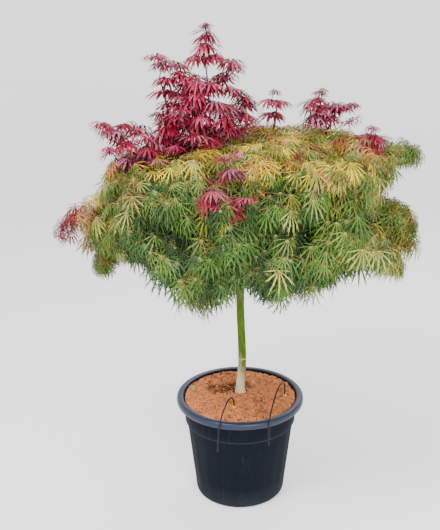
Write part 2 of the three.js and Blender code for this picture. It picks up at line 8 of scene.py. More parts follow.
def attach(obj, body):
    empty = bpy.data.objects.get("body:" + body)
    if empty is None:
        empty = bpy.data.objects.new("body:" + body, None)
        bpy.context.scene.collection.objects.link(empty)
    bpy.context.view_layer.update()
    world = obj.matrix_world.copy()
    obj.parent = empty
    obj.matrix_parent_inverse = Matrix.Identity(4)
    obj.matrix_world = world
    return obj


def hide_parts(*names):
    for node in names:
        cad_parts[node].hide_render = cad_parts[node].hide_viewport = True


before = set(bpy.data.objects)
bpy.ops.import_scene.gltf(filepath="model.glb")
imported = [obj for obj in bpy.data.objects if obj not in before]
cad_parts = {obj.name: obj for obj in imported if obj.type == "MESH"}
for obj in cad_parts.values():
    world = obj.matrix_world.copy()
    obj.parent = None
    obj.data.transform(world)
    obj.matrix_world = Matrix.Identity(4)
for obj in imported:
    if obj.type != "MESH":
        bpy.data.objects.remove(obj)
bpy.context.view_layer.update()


# ---------------------------------------------------------------- studio
# A plain pale floor and sweep under soft light from large boxes. The camera stands two
# and a half metres off, a little above the crown's head, and looks down on the pot.

def deselect():
    if bpy.context.object and bpy.context.object.mode != "OBJECT":
        bpy.ops.object.mode_set(mode="OBJECT")
    bpy.ops.object.select_all(action="DESELECT")


def pick(kind, wanted):
    """Goes into edit mode with only those corners, edges or faces selected that are wanted."""
    bpy.ops.object.mode_set(mode="EDIT")
    bpy.ops.mesh.select_mode(type=kind)
    bpy.ops.mesh.select_all(action="DESELECT")
    bpy.ops.object.mode_set(mode="OBJECT")
    mesh = bpy.context.object.data
    for part in {"VERT": mesh.vertices, "EDGE": mesh.edges, "FACE": mesh.polygons}[kind]:
        part.select = wanted(part)
    bpy.ops.object.mode_set(mode="EDIT")


# The floor is a wide round that sweeps up into its own backdrop on every side
deselect()
bpy.ops.mesh.primitive_circle_add(vertices=96, radius=4.4, fill_type="NGON")
studio_floor = bpy.context.object
studio_floor.name = "studio_floor"
pick("EDGE", lambda edge: True)
for rise, share in ((0.08, 1.1), (0.25, 1.09), (0.45, 1.06), (0.6, 1.03), (3.5, 1.02)):
    bpy.ops.mesh.region_to_loop()
    bpy.ops.mesh.extrude_edges_move(TRANSFORM_OT_translate={"value": (0, 0, rise)})
    bpy.ops.transform.resize(value=(share, share, 1), center_override=(0, 0, 0))
bpy.ops.object.mode_set(mode="OBJECT")
bpy.ops.object.shade_smooth()
floor_paint = bpy.data.materials.new("studio_floor")
floor_paint.use_nodes = True
for socket, value in (("Base Color", (0.85, 0.85, 0.85, 1)), ("Roughness", 0.9),
                      ("Emission Color", (1, 1, 1, 1)), ("Emission Strength", 0.3)):
    floor_paint.node_tree.nodes["Principled BSDF"].inputs[socket].default_value = value
studio_floor.data.materials.append(floor_paint)

studio_air = bpy.data.worlds.new("studio_air")
studio_air.use_nodes = True
air = studio_air.node_tree.nodes["Background"].inputs
air["Color"].default_value = (1, 1, 1, 1)
air["Strength"].default_value = 1.1
bpy.context.scene.world = studio_air

# Each light box: its name, where it stands, its width and its power in watts.
for box_name, place, width, power in (
    ("key_light", (-1.3, -1.7, 3.6), 0.9, 140),
    ("fill_light", (0.9, -2.7, 1.75), 0.9, 75),
    ("back_light", (0.6, 2.4, 3.1), 1.4, 60),
):
    lamp = bpy.data.lights.new(box_name, "AREA")
    lamp.size = width
    lamp.energy = power
    light_box = bpy.data.objects.new(box_name, lamp)
    bpy.context.scene.collection.objects.link(light_box)
    light_box.location = place
    towards_plant = Vector((0, 0, 0.7)) - Vector(place)
    light_box.rotation_euler = towards_plant.to_track_quat("-Z", "Y").to_euler()

LENS_DOWN = 18.085  # degrees below the level
OFF_MIDDLE, PICTURE_HEIGHT = 20, 530  # how far right of the middle the pot stands, in pixels
lens = bpy.data.cameras.new("camera")
lens.lens = 52.93
lens.sensor_width = 36
lens.shift_x = -OFF_MIDDLE / PICTURE_HEIGHT
camera = bpy.data.objects.new("camera", lens)
bpy.context.scene.collection.objects.link(camera)
camera.location = (0, -2.5, 1.6664)
camera.rotation_euler = (math.radians(90 - LENS_DOWN), 0, 0)
bpy.context.scene.camera = camera


# ---------------------------------------------------------------- drip tubes
# Two lengths of black polyethylene drip tube. Each is pushed on the spigot of a dripper
# in the soil, arches over and hangs down outside the pot, where it was cut off.

def srgb(red, green, blue):
    """A colour given as 0 to 255 on a screen, as light."""
    def light(value):
        value /= 255
        return value / 12.92 if value <= 0.04045 else ((value + 0.055) / 1.055) ** 2.4
    return (light(red), light(green), light(blue), 1)


def set_inputs(tree, node, inputs):
    """Sets each named input of a node to its value, or joins it to another node's output."""
    for name, value in inputs.items():
        if isinstance(value, bpy.types.NodeSocket):
            tree.links.new(value, node.inputs[name])
        else:
            node.inputs[name].default_value = value


def made(tree, kind, inputs, output=0, **choices):
    """A new shader node with its inputs set; gives the output that is asked for."""
    node = tree.nodes.new(f"ShaderNode{kind}")
    for name, value in choices.items():
        setattr(node, name, value)
    set_inputs(tree, node, inputs)
    return node.outputs[output]


def new_finish(name):
    """A new material, its nodes, its surface and the places on the piece."""
    finish = bpy.data.materials.new(name)
    finish.use_nodes = True
    tree = finish.node_tree
    return finish, tree, tree.nodes["Principled BSDF"], made(tree, "TexCoord", {}, "Object")


def wandering(tree, places, scale, detail, roughness=0.5):
    """A value that wanders from place to place."""
    return made(tree, "TexNoise", {"Vector": places, "Scale": scale, "Detail": detail,
                                   "Roughness": roughness})


def shaded(tree, value, *stops):
    """The colour for a value, between stops of a position and a colour."""
    node = tree.nodes.new("ShaderNodeValToRGB")
    ramp = node.color_ramp.elements
    while len(ramp) < len(stops):
        ramp.new(0.5)
    for stop, (position, colour) in zip(ramp, stops):
        stop.position, stop.color = position, colour
    set_inputs(tree, node, {"Fac": value})
    return node.outputs["Color"]


def relief_of(tree, height, strength, distance):
    return made(tree, "Bump", {"Height": height, "Strength": strength, "Distance": distance})


def mottled(name, dark, pale, scale, roughness, relief=0.0, relief_scale=0):
    """A surface whose colour wanders between two shades, with fine relief."""
    finish, tree, surface, places = new_finish(name)
    patches = wandering(tree, places, scale, 4)
    set_inputs(tree, surface, {"Roughness": roughness, "Specular IOR Level": 0.25,
                               "Base Color": shaded(tree, patches, (0.35, dark), (0.65, pale))})
    if relief:
        grain = wandering(tree, places, relief_scale, 6)
        set_inputs(tree, surface, {"Normal": relief_of(tree, grain, relief, 0.001)})
    return finish


def through(points, steps):
    """A smooth line through the points, as rows of x, y, z."""
    points = np.array(points, dtype=float)
    padded = np.vstack([2 * points[0] - points[1], points, 2 * points[-1] - points[-2]])
    line = []
    for i in range(len(points) - 1):
        a, b, c, d = padded[i:i + 4]
        for step in range(steps):
            t = step / steps
            line.append(0.5 * (2 * b + (c - a) * t + (2 * a - 5 * b + 4 * c - d) * t ** 2
                               + (3 * b - a - 3 * c + d) * t ** 3))
    return np.array(line + [points[-1]])


TUBE_DIAMETER = 0.0048
tube_routes = {
    "left": [
        (-20, -100, 372), (-21, -102, 388), (-25, -110, 405), (-28, -117, 411), (-31, -124, 416),
        (-38, -142, 418), (-42, -152, 417), (-46, -163, 413), (-54, -184, 402), (-61, -203, 388),
        (-66, -217, 372), (-69, -226, 352), (-71, -231, 330), (-73, -232, 308), (-74, -231, 288),
        (-75, -229, 270),
    ],
    "right": [
        (159, -11, 370), (159, -13, 388), (158, -19, 406), (155, -30, 422), (150, -45, 434),
        (144, -63, 441), (137, -83, 442), (129, -105, 437), (121, -129, 428), (113, -154, 416),
        (105, -179, 400), (99, -200, 381), (95, -214, 360), (94, -222, 338), (95, -225, 314),
        (96, -224, 292),
    ],
}
tube_skin = mottled("black_tube", srgb(7, 8, 10), srgb(16, 18, 21), 60, 0.55, 0.15, 900)

for side, route in tube_routes.items():
    line = through(route, 4) / 1000
    curve = bpy.data.curves.new(f"cut_drip_tube_{side}", "CURVE")
    curve.dimensions = "3D"
    curve.bevel_depth = TUBE_DIAMETER / 2
    curve.bevel_resolution = 4
    curve.use_fill_caps = True
    spline = curve.splines.new("POLY")
    spline.points.add(len(line) - 1)
    for point, place in zip(spline.points, line):
        point.co = (*place, 1)
    tube = bpy.data.objects.new(f"cut_drip_tube_{side}", curve)
    bpy.context.scene.collection.objects.link(tube)
    curve.materials.append(tube_skin)
    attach(tube, "root")
    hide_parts(f"drip_tube_{side}")


# ---------------------------------------------------------------- drippers
# Small yellow drippers moulded in hard plastic, pushed into the soil. Each has a grip of
# shallow ribs round its cap and a spigot on top for the tube.

DRIPPER_RADIUS = 0.0064
dripper_plastic = mottled("yellow_dripper", srgb(222, 160, 4), srgb(244, 190, 14), 180, 0.42,
                          0.2, 1500)


def join_here(pieces, name):
    deselect()
    for piece in pieces:
        piece.select_set(True)
    bpy.context.view_layer.objects.active = pieces[0]
    if len(pieces) > 1:
        bpy.ops.object.join()
    joined = bpy.context.object
    joined.name = name
    joined.data.name = name
    bpy.ops.object.transform_apply(location=True, rotation=True, scale=True)
    return joined


for side, route in tube_routes.items():
    x, y, z = (value / 1000 for value in route[0])
    deselect()
    bpy.ops.mesh.primitive_cylinder_add(vertices=24, radius=DRIPPER_RADIUS * 0.8, depth=0.013,
                                        location=(x, y, z - 0.0098))
    cap = bpy.context.object
    pick("FACE", lambda face: face.normal.z > 0.5)
    # The cap's shoulder, then the spigot
    for rise, share in ((0, 1.22), (0.0012, 1.0), (0.0006, 0.56), (0.0028, 0.9)):
        bpy.ops.mesh.extrude_region_move(TRANSFORM_OT_translate={"value": (0, 0, rise)})
        bpy.ops.transform.resize(value=(share, share, 1))
    bpy.ops.object.mode_set(mode="OBJECT")
    ribs = []
    for k in range(8):
        turn = 2 * math.pi * k / 8
        bpy.ops.mesh.primitive_cylinder_add(
            vertices=8, radius=0.0009, depth=0.008,
            location=(x + 0.0056 * math.cos(turn), y + 0.0056 * math.sin(turn), z - 0.0085))
        ribs.append(bpy.context.object)
    body = join_here([cap, *ribs], f"push_in_dripper_{side}")
    bevel = body.modifiers.new("soft_edges", "BEVEL")
    bevel.width = 0.0003
    bevel.segments = 2
    bpy.ops.object.modifier_apply(modifier="soft_edges")
    body.data.materials.append(dripper_plastic)
    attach(body, "root")
    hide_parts(f"dripper_{side}")


# ---------------------------------------------------------------- pot
# A nursery pot of blow-moulded black plastic: a rolled lip over a plain collar, a small
# step, and a tapering body with broad shallow flutes down to a rounded foot.

POT_SIDES = 180
pot_ring_profile = [  # radius and height in millimetres, from the foot up the outside
    (147, 0), (153, 1.2), (157.5, 5), (160, 12), (162, 27), (165, 55), (169.5, 90), (174, 130),
    (179, 175), (183.5, 215), (187.5, 250), (189.4, 268), (190.2, 275), (190.8, 279.4),
    (195.4, 279.8), (196.4, 281.6), (197.6, 312), (198.9, 346), (199.6, 362.5), (205, 364),
    (219.5, 363.2), (220.6, 361), (221, 349.5), (222.6, 348.2), (224.4, 350), (225, 354),
    (225, 361), (223.6, 365.4), (220.6, 368.6), (216.5, 370), (209.5, 370), (205, 369),
    (201.2, 366.6), (199, 364.4), (197.3, 361.5), (196.5, 357), (195.4, 346), (194.6, 330),
    (190.2, 298), (188, 280),
]
deselect()
bpy.ops.mesh.primitive_circle_add(vertices=POT_SIDES, radius=pot_ring_profile[0][0] / 1000,
                                  fill_type="NGON", location=(0, 0, 0))
moulded_pot = bpy.context.object
moulded_pot.name = moulded_pot.data.name = "moulded_pot"
pick("EDGE", lambda edge: True)
for (radius, height), (next_radius, next_height) in zip(pot_ring_profile, pot_ring_profile[1:]):
    bpy.ops.mesh.extrude_edges_move(
        TRANSFORM_OT_translate={"value": (0, 0, (next_height - height) / 1000)})
    share = next_radius / radius
    bpy.ops.transform.resize(value=(share, share, 1), center_override=(0, 0, next_height / 1000))
bpy.ops.mesh.select_all(action="SELECT")
bpy.ops.mesh.normals_make_consistent(inside=False)
bpy.ops.object.mode_set(mode="OBJECT")

FLUTES = 22
FLUTE_DEPTH = 0.0013
FLUTE_FOOT, FLUTE_TOP = 0.006, 0.272
for vertex in moulded_pot.data.vertices:
    x, y, z = vertex.co
    out = math.hypot(x, y)
    if out < 0.15 or not FLUTE_FOOT <= z <= FLUTE_TOP:
        continue
    turn = math.atan2(y, x)
    fade = min(1, (z - FLUTE_FOOT) / 0.035) * min(1, (FLUTE_TOP - z) / 0.022)
    flute = (0.5 - 0.5 * math.cos(turn * FLUTES)) ** 0.7
    sway = 0.0007 * noise.noise(Vector((3 * math.cos(turn), 3 * math.sin(turn), z * 6)))
    inward = fade * (FLUTE_DEPTH * flute) - fade * sway
    vertex.co.x -= inward * x / out
    vertex.co.y -= inward * y / out
bpy.ops.object.shade_smooth_by_angle(angle=math.radians(38))


def share_of(tree, value, low, high, most=1.0, least=0.0):
    """A share that goes from least to most as a value goes from low to high."""
    return made(tree, "MapRange", {"Value": value, "From Min": low, "From Max": high,
                                   "To Min": least, "To Max": most})


def reckoned(tree, operation, *values, **choices):
    return made(tree, "Math", dict(enumerate(values)), operation=operation, **choices)


def blended(tree, share, first, second, blend="MIX"):
    return made(tree, "MixRGB", {"Fac": share, "Color1": first, "Color2": second}, blend_type=blend)


pot_plastic, tree, plastic, places = new_finish("pot_plastic")
height = made(tree, "SeparateXYZ", {"Vector": places}, "Z")
# Dust and lime, thick near the foot and in streaks down the body
drawn_down = made(tree, "Mapping", {"Vector": places, "Scale": (60, 60, 5)})
specks = wandering(tree, places, 260, 3)
low_dust = reckoned(tree, "MULTIPLY", specks, share_of(tree, height, 0.08, 0.0, 0.7))
streaks = share_of(tree, wandering(tree, drawn_down, 1.6, 9, 0.68), 0.56, 0.76, 0.4)
dust = reckoned(tree, "ADD", streaks, low_dust, use_clamp=True)
dusty = blended(tree, dust, srgb(13, 18, 27), srgb(56, 59, 64))
# A thin paler line on the collar's lower edge: partly dust, partly a painted highlight where the
# bevel would catch the light
edge_dust_and_highlight = reckoned(tree, "MULTIPLY", share_of(tree, height, 0.2835, 0.281, 0.5),
                     reckoned(tree, "GREATER_THAN", height, 0.2797))
edged = blended(tree, edge_dust_and_highlight, dusty, srgb(70, 78, 92))
# The rolled lip is paler: it is told from the wall by its distance from the pot's axis.
# Hands and hoses keep it smooth, so it shines a little more.
flattened = made(tree, "Mapping", {"Vector": places, "Scale": (1, 1, 0)})
from_axis = made(tree, "VectorMath", {0: flattened}, "Value", operation="LENGTH")
rim = share_of(tree, from_axis, 0.2, 0.204, 0.7)
matt = share_of(tree, dust, 0, 1, 0.75, least=0.62)
set_inputs(tree, plastic, {
    "Base Color": blended(tree, rim, edged, srgb(32, 43, 66)),
    "Specular IOR Level": reckoned(tree, "MULTIPLY_ADD", rim, 0.4, 0.05),
    "Roughness": reckoned(tree, "MULTIPLY_ADD", rim, -0.38, matt),
    "Normal": relief_of(tree, specks, 0.25, 0.0006)})
moulded_pot.data.materials.append(pot_plastic)
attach(moulded_pot, "root")
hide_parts("pot")


# ---------------------------------------------------------------- soil
# A mix of coir and crumbled bark, heaped towards the stem, with a scraped hollow beside
# it, damp dark clods, and loose crumbs and fibres lying on top.

SOIL_RADIUS = 0.1962
SOIL_LEVEL, SOIL_TOP = 0.3638, 0.3688
HOLLOW_X, HOLLOW_Y, HOLLOW_DEPTH = -0.06, 0.06, 0.017
SOIL_CELLS = 230
deselect()
bpy.ops.mesh.primitive_grid_add(x_subdivisions=SOIL_CELLS, y_subdivisions=SOIL_CELLS,
                                size=2 * SOIL_RADIUS, location=(0, 0, 0))
potting_mix = bpy.context.object
potting_mix.name = potting_mix.data.name = "potting_mix"
pick("VERT", lambda vertex: math.hypot(vertex.co.x, vertex.co.y) > SOIL_RADIUS)
bpy.ops.mesh.delete(type="VERT")
bpy.ops.object.mode_set(mode="OBJECT")


def soil_height(x, y):
    """The height of the soil at a place, in metres."""
    out = math.hypot(x, y) / SOIL_RADIUS
    mound = SOIL_LEVEL - 0.0012 * out ** 2.2
    across, along = (x - HOLLOW_X) / 0.045, (y - HOLLOW_Y) / 0.027
    hollow = -HOLLOW_DEPTH * math.exp(-(across ** 2 + along ** 2))
    by_trunk = -0.004 * math.exp(-(((x - 0.001) ** 2 + (y - 0.03) ** 2) / 0.024 ** 2))
    place = Vector((x, y, 0.0))
    lumps = 0.0046 * noise.fractal(place * 26, 0.9, 2.1, 4)
    crumbs = 0.0026 * noise.fractal(place * 120 + Vector((3, 7, 0)), 0.8, 2.2, 4)
    clods = 0.012 * max(0.0, noise.noise(place * 42 + Vector((11, 2, 5))) - 0.18)
    near_wall = -0.001 * max(0.0, (out - 0.94) / 0.06) ** 2
    return min(mound + hollow + by_trunk + lumps + crumbs + clods + near_wall, SOIL_TOP)


for vertex in potting_mix.data.vertices:
    vertex.co.z = soil_height(vertex.co.x, vertex.co.y)
# The mix goes on down beside the wall, in the dark
pick("EDGE", lambda edge: True)
bpy.ops.mesh.region_to_loop()
bpy.ops.mesh.extrude_edges_move(TRANSFORM_OT_translate={"value": (0, 0, -0.045)})
bpy.ops.transform.resize(value=(0.985, 0.985, 1), center_override=(0, 0, 0.31))
bpy.ops.mesh.edge_face_add()
bpy.ops.mesh.select_all(action="SELECT")
bpy.ops.mesh.normals_make_consistent(inside=False)
bpy.ops.object.mode_set(mode="OBJECT")
bpy.ops.object.shade_smooth_by_angle(angle=math.radians(50))

coir, tree, crumb_surface, places = new_finish("coir_and_bark")
grains = wandering(tree, places, 240, 8, 0.7)
crumb_tone = shaded(tree, grains, (0.36, srgb(110, 58, 30)), (0.44, srgb(182, 102, 54)),
                    (0.56, srgb(214, 136, 80)), (0.66, srgb(240, 188, 130)))
# It is damp round the hollow
by_hollow = made(tree, "Mapping", {"Vector": places, "Location": (0.4, -0.95, 0),
                                   "Scale": (9.5, 17, 0)})
damp_round = made(tree, "TexGradient", {"Vector": by_hollow}, "Fac", gradient_type="SPHERICAL")
damp = reckoned(tree, "MULTIPLY_ADD", damp_round, 0.95, wandering(tree, places, 26, 6))
wetted = blended(tree, share_of(tree, damp, 0.51, 0.86, 0.95), crumb_tone, srgb(96, 76, 66),
                 blend="MULTIPLY")
# Painted shade: dark gaps between the clods, standing in for their shaded crevices
gaps = share_of(tree, wandering(tree, places, 48, 7, 0.72), 0.48, 0.36, 0.85)
set_inputs(tree, crumb_surface, {
    "Roughness": 0.95, "Base Color": blended(tree, gaps, wetted, srgb(66, 34, 18)),
    "Normal": relief_of(tree, grains, 0.8, 0.003)})
potting_mix.data.materials.append(coir)
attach(potting_mix, "root")
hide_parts("soil")


# Loose crumbs of bark, balls of coir and short fibres, strewn over the heap.
# Each kind is one joined mesh of the same small rough lump, turned and sized at random.

def random_source(seed):
    """A seeded source of even random numbers from 0 to 1."""
    state = seed & 0xFFFFFFFF

    def draw():
        nonlocal state
        state = (state + 0x6D2B79F5) & 0xFFFFFFFF
        mixed = ((state ^ (state >> 15)) * (state | 1)) & 0xFFFFFFFF
        mixed ^= (mixed + (((mixed ^ (mixed >> 7)) * (mixed | 61)) & 0xFFFFFFFF)) & 0xFFFFFFFF
        return ((mixed ^ (mixed >> 14)) & 0xFFFFFFFF) / 4294967296

    return draw


def joined_mesh(name, points, corners, finish, smooth=False):
    """One mesh from rows of points, in metres, and rows of three corners."""
    mesh = bpy.data.meshes.new(name)
    points = np.asarray(points, dtype=np.float32)
    corners = np.asarray(corners, dtype=np.int32)
    mesh.vertices.add(len(points))
    mesh.vertices.foreach_set("co", points.ravel())
    mesh.loops.add(corners.size)
    mesh.loops.foreach_set("vertex_index", corners.ravel())
    mesh.polygons.add(len(corners))
    mesh.polygons.foreach_set("loop_start", np.arange(0, corners.size, 3, dtype=np.int32))
    mesh.polygons.foreach_set("use_smooth", np.full(len(corners), smooth))
    mesh.update(calc_edges=True)
    mesh.validate()
    mesh.materials.append(finish)
    piece = bpy.data.objects.new(name, mesh)
    bpy.context.scene.collection.objects.link(piece)
    return piece


def repeated(shape_points, shape_corners, turns, places):
    """Copies of a shape, each by its own 3 by 3 turn and place, as points and corners."""
    points = np.einsum("nij,vj->nvi", turns, shape_points) + places[:, None, :]
    corners = shape_corners[None] + (np.arange(len(places)) * len(shape_points))[:, None, None]
    return points.reshape(-1, 3), corners.reshape(-1, 3)


ONCE_ROUND = 6.283  # in radians


def any_turn(random):
    """A random rotation, as a 3 by 3 matrix."""
    way = Vector((random() - 0.5, random() - 0.5, random() - 0.5)).normalized()
    roll = ONCE_ROUND * random()
    spun = [[math.cos(roll), -math.sin(roll), 0], [math.sin(roll), math.cos(roll), 0], [0, 0, 1]]
    return np.array(way.to_track_quat("Z", "Y").to_matrix()) @ np.array(spun)


deselect()
bpy.ops.mesh.primitive_ico_sphere_add(subdivisions=1, radius=1)
lump = bpy.context.object
lump_points = np.array([vertex.co[:] for vertex in lump.data.vertices])
lump_points *= 1 + 0.35 * np.sin(np.arange(len(lump_points)) * 2.4)[:, None]
lump_corners = np.array([face.vertices[:] for face in lump.data.polygons])
bpy.data.objects.remove(lump)

STEM_X, STEM_Y, STEM_ROOM = 0.001, 0.026, 0.026  # the round kept clear of crumbs at the stem
CRUMBS_TOP, MOSS_TOP = 0.3698, 0.3745
# Each kind: how many, their least and greatest size, how flat they are and their shades
for name, count, sizes, flat, dark, pale in (
    ("bark_crumbs", 420, (0.0008, 0.004), 0.7, srgb(78, 38, 20), srgb(120, 66, 36)),
    ("coir_crumbs", 2600, (0.0006, 0.0044), 0.8, srgb(178, 98, 50), srgb(214, 140, 82)),
    ("pale_crumbs", 700, (0.0006, 0.0032), 0.6, srgb(228, 176, 124), srgb(244, 208, 160)),
    ("coir_fibres", 420, (0.003, 0.008), 0.07, srgb(170, 104, 60), srgb(220, 166, 112)),
):
    random = random_source(len(name) * 31)
    turns, places = [], []
    while len(places) < count:
        x, y = (SOIL_RADIUS * (2 * random() - 1) for _ in range(2))
        by_stem = math.hypot(x - STEM_X, y - STEM_Y) < STEM_ROOM
        if math.hypot(x, y) > SOIL_RADIUS - 0.005 or by_stem:
            continue
        if name == "bark_crumbs" and random() > 0.25 + noise.noise(Vector((x, y, 0)) * 26) * 1.3:
            continue
        size = sizes[0] + (sizes[1] - sizes[0]) * random() ** 2.5
        if name == "coir_fibres":
            turn = ONCE_ROUND * random()
            along = np.array([math.cos(turn), math.sin(turn), 0.25 * (random() - 0.5)])
            turns.append(np.outer(along, [size, 0, 0]) + np.diag([0.0004, 0.0004, 0.0004]))
        else:
            turns.append(any_turn(random) * size * np.array([1, 0.6 + 0.4 * random(), flat]))
        places.append((x, y, soil_height(x, y) + size * (0.25 if flat > 0.1 else 0.06)))
    points, corners = repeated(lump_points, lump_corners, np.array(turns), np.array(places))
    points[:, 2] = np.minimum(points[:, 2], CRUMBS_TOP)
    crumbs = joined_mesh(name, points, corners, mottled(name, dark, pale, 90, 0.95, 0.4, 1200))
    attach(crumbs, "root")


# A tuft of pale moss and seedlings in the angle between the mix and the wall
blade_points = np.array([(0, -0.09, 0), (0, 0.09, 0), (0.6, -0.08, 0.34), (0.6, 0.08, 0.34),
                         (1, 0, 0.36)])
blade_corners = np.array([(0, 2, 3), (0, 3, 1), (2, 4, 3)])
random = random_source(77)
turns, places = [], []
for _ in range(90):
    turn, lift, size = ONCE_ROUND * random(), 0.5 * random(), 0.005 + 0.006 * random()
    along = np.array([math.cos(turn) * math.cos(lift), math.sin(turn) * math.cos(lift),
                      math.sin(lift)])
    across = np.array([-math.sin(turn), math.cos(turn), 0.0])
    turns.append(np.array([along, across, np.cross(along, across)]).T * size)
    x, y = -0.172 + 0.012 * (random() - 0.5), 0.045 + 0.022 * (random() - 0.5)
    places.append((x, y, soil_height(x, y)))
points, corners = repeated(blade_points, blade_corners, np.array(turns), np.array(places))
points[:, 2] = np.minimum(points[:, 2], MOSS_TOP)
moss = joined_mesh("moss_tuft", points, corners,
                   mottled("moss", srgb(140, 152, 100), srgb(194, 198, 152), 160, 0.8, 0.3, 900))
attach(moss, "root")


# ---------------------------------------------------------------- stem
# The clear stem, an understock of green-barked maple: pale grey and flaking at the foot,
# green above, with a healed ring, small scars of cut shoots and a swelling at the graft.

UP = np.array([0.0, 0.0, 1.0])


def lerp(a, b, t):
    """A value or place between two, at a share t of the way."""
    return a + (b - a) * t


def unit(vector):
    return vector / max(1e-9, np.linalg.norm(vector))


class Arc:
    """A limb's middle line, read by its share of the whole length, in millimetres."""

    def __init__(self, points):
        self.points = np.array(points, dtype=float)
        spans = np.linalg.norm(np.diff(self.points, axis=0), axis=1)
        self.shares = np.concatenate([[0], np.cumsum(spans)]) / spans.sum()
        self.length = spans.sum()

    def at(self, t):
        return np.array([np.interp(t, self.shares, self.points[:, axis]) for axis in range(3)])

    def way(self, t):
        return unit(self.at(min(1, t + 0.02)) - self.at(max(0, t - 0.02)))


def bent(start, bend, end, steps=16):
    """A limb from start to end that bends towards a third place."""
    start, bend, end = (np.array(place, dtype=float) for place in (start, bend, end))
    t = np.linspace(0, 1, steps + 1)[:, None]
    return Arc((1 - t) ** 2 * start + 2 * t * (1 - t) * bend + t ** 2 * end)


def limb_mesh(name, arc, radius_at, sides, steps, relief=None):
    """A cylinder, cut into rings and bent along the limb. relief(t, turn) swells its radius."""
    deselect()
    bpy.ops.mesh.primitive_cylinder_add(vertices=sides, radius=1, depth=1, location=(0, 0, 0),
                                        end_fill_type="TRIFAN")
    limb = bpy.context.object
    limb.name = limb.data.name = name
    rods = limb.data.vertices
    pick("EDGE", lambda edge: abs(rods[edge.vertices[0]].co.z - rods[edge.vertices[1]].co.z) > 0.5)
    bpy.ops.mesh.subdivide(number_cuts=steps - 1)
    bpy.ops.object.mode_set(mode="OBJECT")
    side = unit(np.cross(arc.way(0), [0.3, 1, 0.2]))
    rings = []
    for step in range(steps + 1):
        way = arc.way(step / steps)
        side = unit(side - way * side.dot(way))
        rings.append((arc.at(step / steps), side, np.cross(way, side)))
    for vertex in limb.data.vertices:
        t = vertex.co.z + 0.5
        middle, across, over = rings[round(t * steps)]
        radius = radius_at(t)
        if relief:
            radius += relief(t, math.atan2(vertex.co.y, vertex.co.x))
        place = middle + (across * vertex.co.x + over * vertex.co.y) * radius
        vertex.co = place / 1000
    bpy.ops.object.shade_smooth()
    return limb


stem_arc = Arc(through([(1, 26, 360.3), (1, 26, 390.3), (8, 22, 500), (1, 15, 700),
                        (-5, 12, 985)], 14))
STEM_HEIGHT = 625


def stem_radius(t):
    height = t * STEM_HEIGHT
    return lerp(14, 12.8, t) + 2.6 * math.exp(-height / 70) + 3.5 * math.exp(-height / 12)


def stem_relief(t, turn):
    height = 360 + t * STEM_HEIGHT
    around_stem = Vector((math.cos(turn) * 1.4, math.sin(turn) * 1.4, height / 60))
    swell = 0.45 * noise.fractal(around_stem, 0.9, 2.0, 3)
    swell += 0.16 * noise.noise(Vector((math.cos(turn) * 9, math.sin(turn) * 9, height / 30)))
    for ring_height, size, width in ((497, 0.9, 3), (603, 0.5, 2.4), (676, 0.6, 3), (560, 0.4, 2),
                                     (745, 1.4, 12)):
        swell += size * math.exp(-((height - ring_height) / width) ** 2)
    for scar_height, scar_turn in ((455, 2.6), (540, -2.2), (583, 0.6), (640, -1.2), (702, 2.4)):
        apart = math.remainder(turn - scar_turn, 2 * math.pi) * 12
        swell += 1.2 * math.exp(-((height - scar_height) ** 2 + apart ** 2) / 14)
    return swell * min(1, max(0, t * 40))


green_bark, tree, bark_surface, places = new_finish("green_bark")
height = made(tree, "SeparateXYZ", {"Vector": places}, "Z")
to_the_right = made(tree, "SeparateXYZ", {"Vector": places}, "X")
drawn_up = made(tree, "Mapping", {"Vector": places, "Scale": (190, 190, 34)})
streaks = wandering(tree, drawn_up, 1, 9, 0.72)
greens = shaded(tree, streaks, (0.3, srgb(38, 60, 14)), (0.72, srgb(88, 114, 26)))
greys = shaded(tree, streaks, (0.28, srgb(128, 106, 70)), (0.62, srgb(232, 216, 180)))
# Grey flakes reach higher on the left side than on the right
leaning = reckoned(tree, "MULTIPLY_ADD", to_the_right, 3.2, height)
ragged = reckoned(tree, "MULTIPLY_ADD", streaks, 0.4, leaning)
flaked = blended(tree, share_of(tree, ragged, 0.72, 0.62), greens, greys)
aged = blended(tree, share_of(tree, height, 0.7, 0.8, 0.55), flaked, srgb(112, 96, 58))
# A healed ring, pale all round
healed = reckoned(tree, "COMPARE", height, 0.4975, 0.0022)
set_inputs(tree, bark_surface, {
    "Roughness": 0.7, "Specular IOR Level": 0.1,
    "Base Color": blended(tree, healed, aged, srgb(168, 152, 100)),
    "Normal": relief_of(tree, streaks, 0.5, 0.0012)})

clear_stem = limb_mesh("clear_stem", stem_arc, stem_radius, 40, 260, stem_relief)
clear_stem.data.materials.append(green_bark)
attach(clear_stem, "root")
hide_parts("trunk")


# ---------------------------------------------------------------- boughs
# The grafted head: boughs that arch out of the stem's top and fork, with grey-green bark,
# and a leader that carries the upright red shoots. Young red wood is nearly black.

def around(bearing, reach, height):
    """A place by its bearing in degrees, its reach from the axis and its height."""
    angle = math.radians(bearing)
    return np.array([reach * math.cos(angle), reach * math.sin(angle), height])


def bough_arc(start, tip, arch):
    """A bough from start to tip that rises in an arch."""
    rise = start + (np.array(tip, dtype=float) - start) * 0.45
    rise[2] += arch
    return bent(start, rise, tip)


SECTORS = 8
bough_arcs = {}
leader_arc = bough_arc(stem_arc.at(0.995), (-95, 30, 1290), 0)
bough_arcs["leader"] = (leader_arc, 9)
for k in range(SECTORS):
    start = stem_arc.at(0.985 - 0.016 * ((k * 3) % SECTORS))
    bough_arcs[f"bough_{k + 1}"] = (bough_arc(start, around(k * 45, 235, 1095), 40), 9)
for k in range(3):
    tip = around(-60 + 80 * k, 70, 1215)
    bough_arcs[f"top_bough_{k + 1}"] = (bough_arc(leader_arc.at(0.3 + 0.12 * k), tip, 15), 7)
